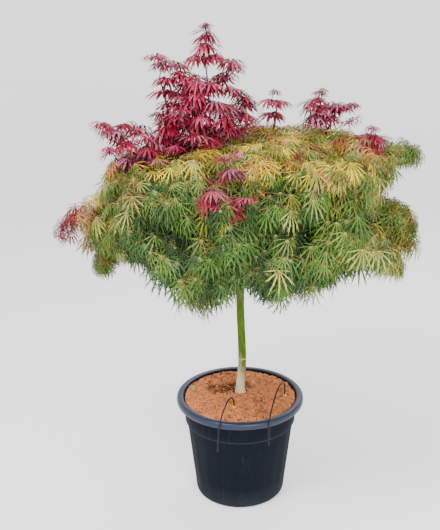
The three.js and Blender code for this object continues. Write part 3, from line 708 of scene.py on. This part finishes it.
# Each upright shoot: where it leaves the leader, its foot and its top
shoots = {
    "leader_shoot": (1, (-95, 30, 1290), (-112, 40, 1545)),
    "left_spire": (0.62, (-205, -10, 1260), (-250, -15, 1470)),
    "left_spray": (0.42, (-270, -70, 1200), (-405, -90, 1290)),
    "heart_shoot": (0.75, (-120, -70, 1245), (-130, -110, 1370)),
    "middle_spire": (0.55, (105, 20, 1290), (118, 25, 1385)),
    "right_spray": (0.35, (255, 20, 1250), (310, 25, 1365)),
    "right_sprig": (0.2, (385, -20, 1225), (412, -58, 1300)),
}
for name, (parting, foot, top) in shoots.items():
    if parting < 1:
        bough_arcs[f"{name}_bough"] = (bough_arc(leader_arc.at(parting), foot, 25), 7)


def bough_relief(t, turn):
    return 0.35 * noise.noise(Vector((math.cos(turn) * 2, math.sin(turn) * 2, t * 22)))


bough_bark = mottled("bough_bark", srgb(74, 72, 42), srgb(122, 124, 78), 60, 0.7, 0.5, 420)
grafted_head = []
for name, (arc, radius) in bough_arcs.items():
    grafted_head.append(limb_mesh(f"limb_{name}", arc, lambda t, r=radius: lerp(r, 6, t), 12, 30,
                                  bough_relief))
main_boughs = join_here(grafted_head, "main_boughs")
main_boughs.data.materials.append(bough_bark)
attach(main_boughs, "root")
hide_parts(*bough_arcs)


# ---------------------------------------------------------------- how the head grows
# Every mass of leaves grows from one stem. Twigs leave it in opposite pairs, each pair
# turned a quarter from the last, and bear finer twigs in the same way. A mass keeps to
# the space nearer to its own middle than to any other's, within the head's outline.

habits = {
    # pairs of twigs, their length and the fine ones', sag, lobe length, how much leaves hang
    "skirt": (13, 150, 78, 0.32, 74, 0.7),
    "shoulder": (13, 150, 78, 0.16, 69, 0.58),
    "top": (13, 145, 66, 0.06, 61, 0.4),
    "under": (9, 120, 72, 0.34, 78, 0.8),
    "frond": (6, 60, 34, 0.3, 54, 0.75),
}

masses = []


def add_mass(name, habit, tone, stem, centre, in_frame=True):
    """A mass to grow. One that is not in the frame has no solid of its own."""
    masses.append({"name": name, "habit": habit, "tone": tone, "stem": stem,
                   "centre": np.array(centre, dtype=float), "in_frame": in_frame})


for k in range(SECTORS):
    bearing = k * 45
    arc = bough_arcs[f"bough_{k + 1}"][0]
    lift = 35 * math.cos(math.radians(bearing))
    add_mass(f"skirt_foliage_{k + 1}", "skirt", "green_leaf",
             bent(arc.at(1), around(bearing, 380, 1110), around(bearing, 500, 900)),
             around(bearing, 425, 965))
    red = bearing == 270
    add_mass(f"{'front_red' if red else 'shoulder'}_foliage_{k + 1}", "shoulder",
             "red_leaf" if red else "pale_leaf",
             bent(arc.at(0.88), around(bearing, 270, 1190 + lift),
                  around(bearing, 470, 1190 + lift)),
             around(bearing, 350, 1170 + lift))
for k in range(3):
    bearing = -60 + 80 * k
    arc = bough_arcs[f"top_bough_{k + 1}"][0]
    add_mass(f"top_foliage_{k + 1}", "top", "gold_leaf",
             bent(arc.at(1), around(bearing, 130, 1255), around(bearing, 240, 1265)),
             around(bearing, 165, 1245))
# Three more, under the red shoots, fill the top of the head out
for k, bearing in enumerate((165, 205, 250)):
    add_mass(f"low_top_{k + 1}", "top", "gold_leaf",
             bent(leader_arc.at(0.62 + 0.05 * k), around(bearing, 130, 1240),
                  around(bearing, 235, 1230)),
             around(bearing, 160, 1225), in_frame=False)
for k in range(4):
    bearing = 45 + 90 * k
    add_mass(f"under_foliage_{k + 1}", "under", "green_leaf",
             bent(stem_arc.at(0.86 - 0.02 * k), around(bearing, 110, 960),
                  around(bearing, 190, 810)),
             around(bearing, 160, 850))
middles = np.array([mass["centre"] for mass in masses])

# A few long fronds reach out of the head: their start, bend and tip
fronds = {
    "left_tip": ((-400, 0, 1090), (-515, -10, 1085), (-584, -15, 985)),
    "low_left": ((-350, -20, 960), (-430, -20, 940), (-462, -20, 870)),
    "upper_right": ((430, 10, 1185), (510, 15, 1265), (556, 20, 1235)),
    "right": ((420, 0, 1060), (520, 0, 1070), (556, 0, 1010)),
    "low_right": ((400, 20, 950), (490, 20, 930), (528, 20, 850)),
}
for name, (start, bend, tip) in fronds.items():
    add_mass(f"{name}_frond", "frond", "pale_leaf", bent(start, bend, tip), tip, in_frame=False)

# The head's outline: its reach to the left, to the right and to the front and back at
# each height, in millimetres
outline_heights = (700, 740, 780, 820, 860, 900, 940, 1000, 1060, 1100, 1140, 1200, 1240, 1275,
                   1310)
left_reach = (230, 262, 285, 330, 432, 440, 470, 470, 480, 480, 450, 425, 425, 350, 250)
right_reach = (190, 260, 320, 500, 536, 547, 545, 580, 560, 520, 470, 495, 530, 450, 340)
depth_reach = (250, 330, 390, 440, 480, 505, 525, 535, 525, 505, 480, 445, 400, 330, 240)


def head_reach(x, y, z):
    """How far from its axis the head reaches at a place, in waves as leaves lie on it."""
    across = x / max(1.0, math.hypot(x, y))
    side = np.interp(z, outline_heights, right_reach if across > 0 else left_reach)
    reach = lerp(np.interp(z, outline_heights, depth_reach), side, across * across)
    if across < 0:
        # Room for the long frond on the left
        reach += 165 * math.exp(-((z - 1000) / 44) ** 2) * (-across) ** 40
    wave = noise.noise(Vector((x, y, z * 1.6)) / 100)
    return reach * (1 + 0.26 * wave) - 10


def depth_in_head(x, y, z):
    """How far in from the head's outline a place lies."""
    return head_reach(x, y, z) - math.hypot(x, y)


def in_head(place, margin):
    """Whether a place is in the head, let out by a margin."""
    x, y, z = place
    foot = np.interp(x, (-450, -310, -250, -190, -150, -80, -30, 40, 90, 190, 250, 320, 400, 540),
                     (880, 900, 865, 785, 745, 755, 820, 820, 765, 765, 835, 875, 865, 825))
    foot += 0.25 * abs(y) + 80 * noise.noise(Vector((x / 75, y / 75, 0)))
    top = 1282 + 0.11 * x + 30 * noise.noise(Vector((x / 80, y / 80, 9)))
    return depth_in_head(x, y, z) > -margin and foot - 0.7 * margin < z < top + 0.6 * margin


# How deep in the head and below what height it is dark, and where leaves are plainer
DARK_DEPTH, DARK_BELOW = 190, 1130
PLAIN_DEPTH, PLAIN_BELOW = 140, 1170
FROND_ROOM, LEFT_TIP_ROOM = 36, 32  # how far a frond's leaves stand off it
SHARED_SPACE = 9000  # how far masses reach into each other, in square millimetres


def in_space(mass, place, margin=0):
    """Whether a place is in a mass's own space, let out by a margin."""
    if mass["habit"] == "frond":
        room = LEFT_TIP_ROOM if mass["name"] == "left_tip_frond" else FROND_ROOM
        return ((mass["stem"].points - place) ** 2).sum(axis=1).min() < (room + margin) ** 2
    if not in_head(place, margin):
        return False
    apart = ((middles - place) ** 2).sum(axis=1)
    return ((place - mass["centre"]) ** 2).sum() <= apart.min() + SHARED_SPACE


twigs = {"green": [], "red": []}
petioles = {"green": [], "red": []}
sprays = []


def jitter(random, amount):
    """A small random push."""
    return np.array([random() - 0.5, random() - 0.5, random() - 0.5]) * amount


def turned_about(vector, axis, angle):
    """The vector, turned about a unit axis by an angle."""
    return (vector * math.cos(angle) + np.cross(axis, vector) * math.sin(angle)
            + axis * axis.dot(vector) * (1 - math.cos(angle)))


def twig_arc(mass, start, way, length, sag, shares, random):
    """A twig from start, as long as fits in its mass's space, or None."""
    for share in shares:
        end = start + way * length * share
        end[2] -= sag * length * share
        if in_space(mass, end, -12):
            middle = start + way * length * share * 0.55
            return bent(start, middle + jitter(random, 0.08 * length), end, 4)
    return None


def opposite_pairs(arc, pairs, first, last, spread, random, quarter=0):
    """The places and ways in which opposite pairs of side shoots leave a limb."""
    for pair in range(pairs - 1, -1, -1):
        t = lerp(first, last, pair / max(1, pairs - 1))
        along = arc.way(t)
        across = unit(np.cross(along, np.array([1.0, 0, 0]) if abs(along[2]) > 0.9 else UP))
        for side in (0, math.pi):
            roll = (pair + quarter) * math.pi / 2 + side + 0.35 * (2 * random() - 1)
            angle = spread + 0.17 * (2 * random() - 1)
            yield t, turned_about(across, along, roll) * math.sin(angle) + along * math.cos(angle)


# The forms of leaf, as numbered in the list of forms in the leaves' own section
WEEPING_FORMS, PLAIN_FORM, FIRST_SHOOT_FORM, SHOOT_FORMS = 3, 3, 4, 2


def add_leaves(mass, arc, spray, random):
    """Opposite leaves along a fine twig, and one at its end."""
    hang, lobe = mass["hang"], mass["lobe"]
    seats = list(opposite_pairs(arc, 3, 0.3, 0.96, math.radians(64), random))
    for t, way in [*seats, (1.0, arc.way(1))]:
        start = arc.at(t)
        stalk_way = unit(way + UP * (0.25 - 0.3 * hang) + jitter(random, 0.3))
        heart = start + stalk_way * lobe * (0.26 + 0.22 * random())
        blade = unit(stalk_way * (1 - 0.82 * hang) - UP * hang + jitter(random, 0.42))
        if not in_space(mass, heart, 0) or not in_space(mass, heart + blade * lobe * 0.8, 34):
            continue
        outward = unit(np.array([heart[0], heart[1], 0.0]) + 1e-6)
        # A leaf faces out of the head, and away from its twig too
        face = (outward + stalk_way * [1.2, 1.2, 0]) * 0.5 * hang + UP * (1.05 - 0.5 * hang)
        face += jitter(random, 0.7)
        side = unit(np.cross(face, blade))
        size = lobe * (0.72 + 0.5 * random())
        spray["leaves"].append((heart, np.array([blade, side, np.cross(blade, side)]).T * size,
                                int(random() * WEEPING_FORMS)))
        petioles["green"].append((start, heart, 0.55))


def within_head(arc):
    """The limb, cut off where it would leave the head."""
    inside = 1
    while inside < len(arc.points) - 1 and (inside < 6 or in_head(arc.points[inside + 1], -10)):
        inside += 1
    return Arc(arc.points[:inside + 1])


for index, mass in enumerate(masses):
    pairs, twig_length, fine_length, sag, lobe, hang = habits[mass["habit"]]
    if mass["habit"] != "frond":
        mass["stem"] = within_head(mass["stem"])
    mass.update(hang=hang, lobe=lobe)
    random = random_source(index + 11)
    twigs["green"].append((mass["stem"], 5.2 if mass["habit"] != "frond" else 2.6, 1.6))
    side_shoots = [(t, way, 1.0) for t, way in
                   opposite_pairs(mass["stem"], pairs, 0.16, 0.97, math.radians(60), random)]
    for t, way, vigour in [*side_shoots, (1.0, mass["stem"].way(1), 0.7)]:
        length = twig_length * vigour * (0.75 + 0.5 * random())
        twig = twig_arc(mass, mass["stem"].at(t), unit(way), length, sag,
                        (1, 0.75, 0.55, 0.35), random)
        if twig is None:
            continue
        twigs["green"].append((twig, 2.3, 1.1))
        fine = list(opposite_pairs(twig, 2 if mass["habit"] == "frond" else 4, 0.25, 0.9,
                                   math.radians(55), random, quarter=1))
        for u, fine_way in [*fine, (1.0, twig.way(1))]:
            # Few fine twigs live in the dark of the head
            x, y, z = twig.at(u)
            in_dark = depth_in_head(x, y, z) > DARK_DEPTH and z < DARK_BELOW
            if in_dark and random() < 0.6:
                continue
            length = fine_length * (0.7 + 0.6 * random())
            branch = twig_arc(mass, twig.at(u), unit(fine_way), length, sag, (1, 0.7, 0.45), random)
            if branch is None:
                continue
            twigs["green"].append((branch, 1.0, 0.5))
            spray = {"red": False, "place": branch.at(0.8), "leaves": [], "luck": random()}
            add_leaves(mass, branch, spray, random)
            if spray["leaves"]:
                sprays.append(spray)


# The upright shoots carry the red leaves in tiers, like small umbrellas, with open air
# between them. Each tier: its place and how far its leaves spread.
red_tiers = {
    "leader_shoot": (
        (-105, 30, 1636, 24), (-105, 30, 1610, 42), (-102, 30, 1578, 56), (-132, 20, 1545, 48),
        (-80, 20, 1545, 38), (-30, 30, 1530, 44), (-5, 30, 1510, 34), (-90, 30, 1440, 36)),
    "left_spire": (
        (-260, -10, 1545, 38), (-240, -15, 1520, 34), (-205, 0, 1525, 42), (-185, -20, 1495, 44),
        (-225, -10, 1475, 42), (-235, -10, 1435, 42), (-210, -30, 1400, 44), (-250, -30, 1370, 36),
        (-180, -30, 1440, 42), (-160, 10, 1470, 38), (-195, 20, 1360, 44), (-165, -20, 1350, 42)),
    "heart_shoot": (
        (-135, -30, 1480, 43), (-85, -60, 1465, 43), (-40, 0, 1450, 41), (-140, -70, 1435, 46),
        (-80, -90, 1410, 46), (0, 0, 1425, 38), (20, -5, 1410, 34), (10, -20, 1370, 41),
        (35, -20, 1345, 36), (-180, -90, 1375, 46), (-115, -110, 1370, 46), (-50, -110, 1370, 46),
        (-215, -120, 1345, 43), (-150, -150, 1330, 42), (-25, 60, 1390, 45), (-115, 60, 1395, 52),
        (-175, 50, 1430, 48), (-65, 60, 1480, 38), (-90, -150, 1315, 44), (-190, 40, 1350, 48),
        (-100, -50, 1340, 46), (-50, -50, 1400, 42), (-170, -50, 1400, 44), (-30, -90, 1335, 44),
        (-230, -80, 1360, 40), (-120, -20, 1420, 44), (-245, -60, 1320, 44),
        (-190, -150, 1290, 42)),
    "left_spray": (
        (-425, -90, 1345, 34), (-400, -80, 1325, 36), (-350, -90, 1345, 38), (-300, -90, 1315, 43),
        (-400, -110, 1275, 37), (-345, -120, 1295, 40), (-285, -120, 1275, 42),
        (-390, -30, 1305, 41), (-315, -20, 1330, 41), (-250, -60, 1300, 41),
        (-330, -150, 1245, 38), (-250, -160, 1250, 40), (-380, -120, 1235, 34)),
    "middle_spire": (
        (112, 25, 1432, 22), (95, 25, 1405, 40), (125, 25, 1400, 40), (100, 25, 1365, 44)),
    "right_spray": (
        (258, 25, 1435, 28), (245, 25, 1412, 38), (225, 25, 1392, 40), (310, 25, 1395, 46),
        (335, 25, 1385, 36), (365, 25, 1392, 28), (235, 20, 1355, 42), (285, 10, 1355, 40),
        (378, 25, 1350, 30), (285, 70, 1385, 42), (260, 15, 1375, 40)),
    "right_sprig": (
        (412, -60, 1328, 26), (388, -60, 1308, 34), (420, -60, 1302, 36), (440, -60, 1292, 30),
        (402, -85, 1274, 36), (425, -85, 1266, 30), (380, -95, 1285, 30)),
    "front": (
        (-35, -400, 1262, 36), (0, -405, 1258, 28), (-75, -440, 1212, 36), (-35, -455, 1170, 36),
        (-5, -450, 1188, 28), (-50, -370, 1290, 26), (-5, -360, 1300, 22), (-60, -455, 1172, 26),
        (-95, -450, 1188, 34), (-15, -462, 1148, 34), (22, -445, 1190, 28)),
}


def add_tier(joints, heart, spread, leaf_count, random):
    """A twig up to the tier from the limb that suits it best, and its umbrella of leaves."""
    seat = heart - UP * 0.3 * spread
    gaps = seat - joints
    spans = np.linalg.norm(gaps, axis=1)
    start = joints[np.argmin(spans + 2.5 * np.maximum(0, 0.45 * spans - gaps[:, 2]))]
    middle = lerp(start, seat, 0.5) + jitter(random, 0.1 * spans.min()) - UP * 0.06 * spans.min()
    twig = bent(start, middle, seat, 6)
    twigs["red"].append((twig, 1.9, 1.0))
    turn = 2 * math.pi * random()
    for k in range(leaf_count):
        spray = {"red": True, "place": seat, "leaves": [], "luck": random()}
        # Opposite leaves, each pair a little lower than the last and turned across it
        bearing = turn + (k % 2) * math.pi + (k // 2) * 1.9 + 0.3 * random()
        out = np.array([math.cos(bearing), math.sin(bearing), 0.0])
        foot = twig.at(1 - 0.1 * (k // 2))
        end = foot + out * spread * (0.1 + 0.14 * random()) + UP * spread * (0.1 + 0.2 * random())
        petioles["red"].append((foot, end, 0.9))
        blade = unit(out + UP * (0.2 - 0.6 * random()) + jitter(random, 0.25))
        side = unit(np.cross(UP + jitter(random, 0.4), blade))
        size = min(66, spread * (0.9 + 0.35 * random()))
        spray["leaves"].append((end, np.array([blade, side, np.cross(blade, side)]).T * size,
                                FIRST_SHOOT_FORM + int(random() * SHOOT_FORMS)))
        sprays.append(spray)
    return np.vstack([joints, [twig.at(t) for t in (0.3, 0.5, 0.7, 0.9)]])


# How far each shoot's tiers spread beyond the least, and how many leaves each tier has
fullness_of = {"heart_shoot": (1.35, 12), "left_spire": (1.35, 11), "left_spray": (1.3, 10),
               "leader_shoot": (1.3, 9), "right_spray": (1.25, 10), "front": (1.2, 6)}
for name, tiers in red_tiers.items():
    random = random_source(len(name) * 101)
    fullness, leaf_count = fullness_of.get(name, (1.2, 8))
    if name == "front":
        front = next(mass["stem"] for mass in masses if mass["name"] == "front_red_foliage_7")
        joints = front.points[4:14]
    else:
        parting, foot, top = shoots[name]
        foot, top = np.array(foot, dtype=float), np.array(top, dtype=float)
        joints = bent(foot, lerp(foot, top, 0.5) + jitter(random, 14), top, 12)
        twigs["red"].append((joints, 4.6, 1.6))
        joints = joints.points
        if parting < 1:
            joints = np.vstack([bough_arcs[f"{name}_bough"][0].points[8:], joints])
    for *heart, spread in sorted(tiers, key=lambda tier: tier[2]):
        joints = add_tier(joints, np.array(heart, dtype=float), spread * fullness, leaf_count,
                          random)


def stacked(shapes):
    """The points and corners of several shapes, as those of one."""
    starts = np.cumsum([0] + [len(points) for points, _ in shapes[:-1]])
    return (np.vstack([points for points, _ in shapes]),
            np.vstack([corners + start for (_, corners), start in zip(shapes, starts)]))


def drawn_twigs(name, limbs, sides, finish):
    """Thin tapering tubes, one for each limb, joined as one mesh."""
    shapes = []
    for arc, foot_radius, tip_radius in limbs:
        points, corners = [], []
        rings = len(arc.points) if arc.length > 60 else 3
        side = unit(np.cross(arc.way(0), [0.31, 0.17, 0.93]))
        for ring in range(rings):
            t = ring / (rings - 1)
            way = arc.way(t)
            side = unit(side - way * side.dot(way))
            over = np.cross(way, side)
            radius = lerp(foot_radius, tip_radius, t)
            for corner in range(sides):
                turn = 2 * math.pi * corner / sides
                points.append(arc.at(t) + radius * (side * math.cos(turn) + over * math.sin(turn)))
        for ring in range(rings - 1):
            for corner in range(sides):
                a = ring * sides + corner
                b = ring * sides + (corner + 1) % sides
                corners += [(a, b, b + sides), (a, b + sides, a + sides)]
        last = (rings - 1) * sides
        corners += [(last, last + k, last + k + 1) for k in range(1, sides - 1)]
        corners += [(0, k + 1, k) for k in range(1, sides - 1)]
        shapes.append((np.array(points) / 1000, np.array(corners)))
    return joined_mesh(name, *stacked(shapes), finish, smooth=True)


# Green and tan twigs bear the weeping leaves, and dark maroon ones the red shoots'.
twig_bark = mottled("twig_bark", srgb(78, 56, 30), srgb(118, 88, 48), 50, 0.6, 0.3, 600)
maroon_bark = mottled("maroon_bark", srgb(36, 16, 20), srgb(64, 28, 30), 50, 0.55, 0.3, 600)
leaf_stalk = mottled("leaf_stalk", srgb(142, 96, 56), srgb(178, 132, 80), 40, 0.55)
red_stalk = mottled("red_stalk", srgb(80, 16, 32), srgb(120, 30, 48), 40, 0.5)
for wood, finish in (("green", twig_bark), ("red", maroon_bark)):
    stout = [limb for limb in twigs[wood] if limb[1] > 3]
    slim = [limb for limb in twigs[wood] if limb[1] <= 3]
    for name, limbs, sides in ((f"{wood}_shoot_stems", stout, 8), (f"{wood}_twigs", slim, 4)):
        wood_piece = drawn_twigs(name, limbs, sides, finish)
        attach(wood_piece, "root")

stalk_points = np.array([(t, 0.5 * math.cos(a), 0.5 * math.sin(a))
                         for t in (0, 1) for a in (0, 2.094, 4.189)])
stalk_corners = np.array([c for k in range(3) for c in
                          ((k, (k + 1) % 3, (k + 1) % 3 + 3), (k, (k + 1) % 3 + 3, k + 3))])
for wood, finish in (("green", leaf_stalk), ("red", red_stalk)):
    turns, places = [], []
    for start, end, radius in petioles[wood]:
        way = end - start
        side = unit(np.cross(way, [0.3, 0.2, 0.9]))
        turns.append(np.array([way, side * 2 * radius, unit(np.cross(way, side)) * 2 * radius]).T)
        places.append(start)
    points, corners = repeated(stalk_points, stalk_corners, np.array(turns), np.array(places))
    stalks = joined_mesh(f"{wood}_leaf_stalks", points / 1000, corners, finish)
    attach(stalks, "root")


# ---------------------------------------------------------------- leaves
# Each leaf is a hand of seven fine lobes that droop from the end of its stalk, cut at
# their edges into teeth. The youngest are flatter and the oldest hang closed.

lobe_turns = (0, 21, -21, 45, -45, 78, -78)
lobe_lengths = (1, 0.96, 0.96, 0.84, 0.84, 0.6, 0.6)


def leaf_form(fan, droop, half_width, toothed=True, lobes=7):
    """A leaf with its heart at the origin and its middle lobe along X, one unit long."""
    points, corners, ribs, rib_corners = [], [], [], []
    for turn, length in list(zip(lobe_turns, lobe_lengths))[:lobes]:
        angle = math.radians(turn * fan)
        along = np.array([math.cos(angle), math.sin(angle)])
        beside = np.array([-along[1], along[0]])

        def spot(share, out):
            """A place on the lobe, which leaves the heart level and bends down to its tip."""
            reach = length * share
            flat = along * reach * (1 - 0.35 * droop * share) + beside * out
            return (*flat, -droop * reach * share - 0.6 * abs(out))

        first = len(points)
        for share, width in ((0.0, 0.16), (0.45, 1.0), (0.75, 0.75)):
            out = half_width * width * (0.4 + 0.6 * length)
            points += [spot(share, -out), spot(share, out)]
        points.append(spot(1, 0))
        for start in (first, first + 2):
            corners += [(start, start + 2, start + 3), (start, start + 3, start + 1)]
        corners.append((first + 4, first + 6, first + 5))
        if length > 0.6 and toothed:
            for share, sign in ((0.36, 1), (0.54, -1)):
                tooth = len(points)
                points += [spot(share + further, sign * wide * half_width)
                           for further, wide in ((0, 0.5), (0.28, 2.4), (0.12, 0.5))]
                first_side, last_side = (1, 2) if sign < 0 else (2, 1)
                corners.append((tooth, tooth + first_side, tooth + last_side))
        if length > 0.6:
            rib = len(ribs)
            raised = np.array([0, 0, 0.008])
            ribs += [spot(share, out) + raised
                     for share, out in ((0.04, -0.009), (0.04, 0.009), (0.75, 0))]
            rib_corners.append((rib, rib + 2, rib + 1))
    return np.array(points), np.array(corners), np.array(ribs), np.array(rib_corners)


# Four forms of the weeping leaf, the last a plainer one for the head's dark inside, then
# two of the shoots', which are broader for their length
leaf_forms = [leaf_form(1.15, 0.35, 0.024), leaf_form(0.85, 0.3, 0.026),
              leaf_form(1.0, 0.55, 0.024), leaf_form(1.0, 0.45, 0.036, toothed=False),
              leaf_form(1.4, 0.32, 0.062, toothed=False, lobes=5),
              leaf_form(1.2, 0.55, 0.06, toothed=False, lobes=5)]

# Each tint: its shades, the slot it belongs to and the tone of its ribs
leaf_tints = {
    "deep_green": (srgb(22, 40, 12), srgb(38, 60, 20), "green_leaf", None),
    "mid_green": (srgb(34, 60, 17), srgb(54, 84, 27), "green_leaf", "pale"),
    "blue_green": (srgb(38, 70, 32), srgb(64, 98, 54), "green_leaf", "pale"),
    "bright_green": (srgb(54, 86, 20), srgb(80, 114, 32), "green_leaf", "pale"),
    "pale_green": (srgb(72, 98, 32), srgb(108, 132, 54), "pale_leaf", "tan"),
    "cream": (srgb(124, 132, 62), srgb(164, 166, 88), "pale_leaf", "tan"),
    "tan": (srgb(134, 100, 52), srgb(176, 138, 80), "pale_leaf", "tan"),
    "olive": (srgb(96, 96, 24), srgb(134, 130, 40), "pale_leaf", "tan"),
    "yellow": (srgb(182, 156, 30), srgb(218, 192, 52), "gold_leaf", None),
    "orange": (srgb(184, 104, 34), srgb(214, 142, 56), "gold_leaf", "tan"),
    "bronze": (srgb(98, 60, 32), srgb(136, 86, 46), "gold_leaf", None),
    "flame": (srgb(122, 40, 28), srgb(158, 62, 38), "red_leaf", "red"),
    "crimson": (srgb(96, 4, 24), srgb(134, 12, 42), "red_leaf", "red"),
    "rose": (srgb(140, 26, 60), srgb(174, 56, 88), "red_leaf", "red"),
    "maroon": (srgb(66, 14, 30), srgb(92, 24, 42), "red_leaf", None),
    "mauve": (srgb(124, 62, 84), srgb(166, 100, 118), "red_leaf", "red"),
}

# How much of each tint the sprays take, from the lowest weeping ones to the top
WEEPING_BELOW = 1225
tint_bands = (
    (900, {"deep_green": 9, "mid_green": 10, "blue_green": 6, "bright_green": 4, "pale_green": 2}),
    (1000, {"deep_green": 9, "mid_green": 11, "blue_green": 5, "bright_green": 5, "yellow": 0.2,
            "pale_green": 2, "cream": 0.3}),
    (1120, {"deep_green": 8, "mid_green": 10, "blue_green": 4, "bright_green": 7, "olive": 1,
            "yellow": 0.2, "pale_green": 3.2, "tan": 0.4, "cream": 0.5}),
    (WEEPING_BELOW, {"deep_green": 7, "mid_green": 10, "bronze": 0.4, "bright_green": 8,
                     "olive": 1.4, "yellow": 0.4, "pale_green": 4, "tan": 0.5, "cream": 0.8}),
    (2000, {"mid_green": 2, "bronze": 1.6, "bright_green": 3, "olive": 3, "flame": 0.8,
            "pale_green": 4, "tan": 2, "orange": 4, "cream": 4, "yellow": 10}),
)
# Painted shade: the deep greens dealt to the leaves inside the head
painted_shade_band = {"deep_green": 6, "mid_green": 3, "blue_green": 1}
# Painted light: the paler tints of the outermost leaves at the head's sides
painted_light_side_band = {"deep_green": 3, "mid_green": 6, "bright_green": 5, "olive": 3, "yellow": 0.6,
             "orange": 0.3, "pale_green": 8, "tan": 2, "cream": 5}
red_band = {"crimson": 10, "rose": 5, "maroon": 4, "mauve": 4}
right_tip_band = {"mid_green": 2, "bright_green": 3, "olive": 2.4, "pale_green": 3, "tan": 1,
                  "cream": 1}
left_tip_band = {"tan": 2, "bronze": 1, "flame": 3, "crimson": 1}
OUTER_DEPTH = 110  # how deep the outermost layer of leaves is
LEFT_TIP_FROM, RIGHT_TIP_FROM = -500, 440


def dealt(band, luck):
    """A tint drawn from a band by a number from 0 to 1."""
    left = luck * sum(band.values())
    for tint, share in band.items():
        left -= share
        if left < 0:
            return tint
    return tint


def spray_tint(spray):
    """A spray's tint, by where it lies in the head and how much the other sprays shade it, as
    painted light and shade.
    """
    x, y, z = spray["place"]
    if spray["red"]:
        return dealt(red_band, spray["luck"])
    # Some red leaves lie among the weeping ones, round the red shoot in front
    patch = ((x + 45) / 50) ** 2 + ((z - 1215) / 55) ** 2
    if y < -280 and patch < 1 and spray["luck"] > 0.45 + 0.4 * patch:
        return dealt(red_band, 1 - spray["luck"])
    # The long frond on the left reddens towards its tip
    if x < LEFT_TIP_FROM:
        return dealt(left_tip_band, min(0.99, (LEFT_TIP_FROM - x) / 70))
    if x > RIGHT_TIP_FROM:
        return dealt(right_tip_band, spray["open"])
    depth = depth_in_head(x, y, z)
    # Painted shade: leaves deep in the head and below 1200 mm take the deep greens
    if depth > OUTER_DEPTH and z < 1200:
        return dealt(painted_shade_band, spray["luck"])
    # Painted light: the outermost leaves take the paler tints of a higher band, as those higher up
    # are paler, and most of all at the sides
    if z < WEEPING_BELOW:
        if depth < OUTER_DEPTH and abs(x) > 290 + 80 * spray["luck"]:
            return dealt(painted_light_side_band, spray["open"])
        z = min(WEEPING_BELOW - 1, z + 0.7 * max(0, 70 - depth))
    return dealt(next(band for top, band in tint_bands if z < top), spray["open"])


# Painted light and shade: sprays with few others above and outside them take the paler tints of
# their band, and the shaded ones the deeper tints
heads = np.array([spray["place"] for spray in sprays])
ways_out = heads * [1, 1, 0]
ways_out /= np.linalg.norm(ways_out, axis=1)[:, None] + 1e-6
ways_out[:, 2] = 0.9
shade = []
for place, way_out in zip(heads, ways_out):
    gaps = heads - place
    spans = np.linalg.norm(gaps, axis=1)
    shade.append(np.sum((spans < 95) & (gaps @ way_out > 0.8 * spans) & (spans > 1)))
openness = np.array([spray["luck"] for spray in sprays])
openness -= 0.32 * np.argsort(np.argsort(np.array(shade) + 0.5 * openness)) / len(sprays)
for spray, rank in zip(sprays, np.argsort(np.argsort(openness))):
    spray["open"] = (rank + 0.5) / len(sprays)

leaves = {tint: [] for tint in leaf_tints}
for spray in sprays:
    # Deep in the head the leaves are of the plainer form
    x, y, z = spray["place"]
    if not spray["red"] and depth_in_head(x, y, z) > PLAIN_DEPTH and z < PLAIN_BELOW:
        spray["leaves"] = [(heart, turn, PLAIN_FORM) for heart, turn, _ in spray["leaves"]]
    leaves[spray_tint(spray)] += spray["leaves"]

# The leaves of one tint stand for the solid masses of each tone
stands_for = {"mid_green": "green_leaf", "pale_green": "pale_leaf", "yellow": "gold_leaf",
              "crimson": "red_leaf"}
nodes_of_tone = {tone: [mass["name"] for mass in masses
                        if mass["tone"] == tone and mass["in_frame"]]
                 for tone in stands_for.values()}
nodes_of_tone["red_leaf"] += [f"{name}_foliage" for name in shoots]
# The pale ribs on the greens are partly their paler midribs and partly painted highlight lines
# along the lobes; the tan and red ribs are the veins' own colour
rib_finishes = {
    "pale": mottled("pale_ribs_painted_highlight", srgb(94, 114, 54), srgb(130, 144, 82), 30, 0.55),
    "tan": mottled("tan_ribs", srgb(150, 112, 58), srgb(186, 146, 82), 30, 0.55),
    "red": mottled("red_ribs", srgb(82, 14, 30), srgb(112, 26, 44), 30, 0.5),
}
ribs_by_tone = {tone: [] for tone in rib_finishes}
for tint, (dark, pale, slot_name, rib_tone) in leaf_tints.items():
    shapes = []
    for form, (form_points, form_corners, rib_points, rib_corners) in enumerate(leaf_forms):
        own = [leaf for leaf in leaves[tint] if leaf[2] == form]
        if not own:
            continue
        places, turns = np.array([leaf[0] for leaf in own]), np.array([leaf[1] for leaf in own])
        shapes.append(repeated(form_points, form_corners, turns, places))
        if rib_tone:
            ribs_by_tone[rib_tone].append(repeated(rib_points, rib_corners, turns, places))
    points, corners = stacked(shapes)
    blades = joined_mesh(f"{tint}_leaves", points / 1000, corners,
                         mottled(f"{tint}_leaf", dark, pale, 22, 0.5, 0.35, 420))
    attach(blades, "root")
    if tint in stands_for:
        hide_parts(*nodes_of_tone[stands_for[tint]])

for tone, shapes in ribs_by_tone.items():
    points, corners = stacked(shapes)
    ribs = joined_mesh(f"{tone}_leaf_ribs", points / 1000, corners, rib_finishes[tone])
    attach(ribs, "root")
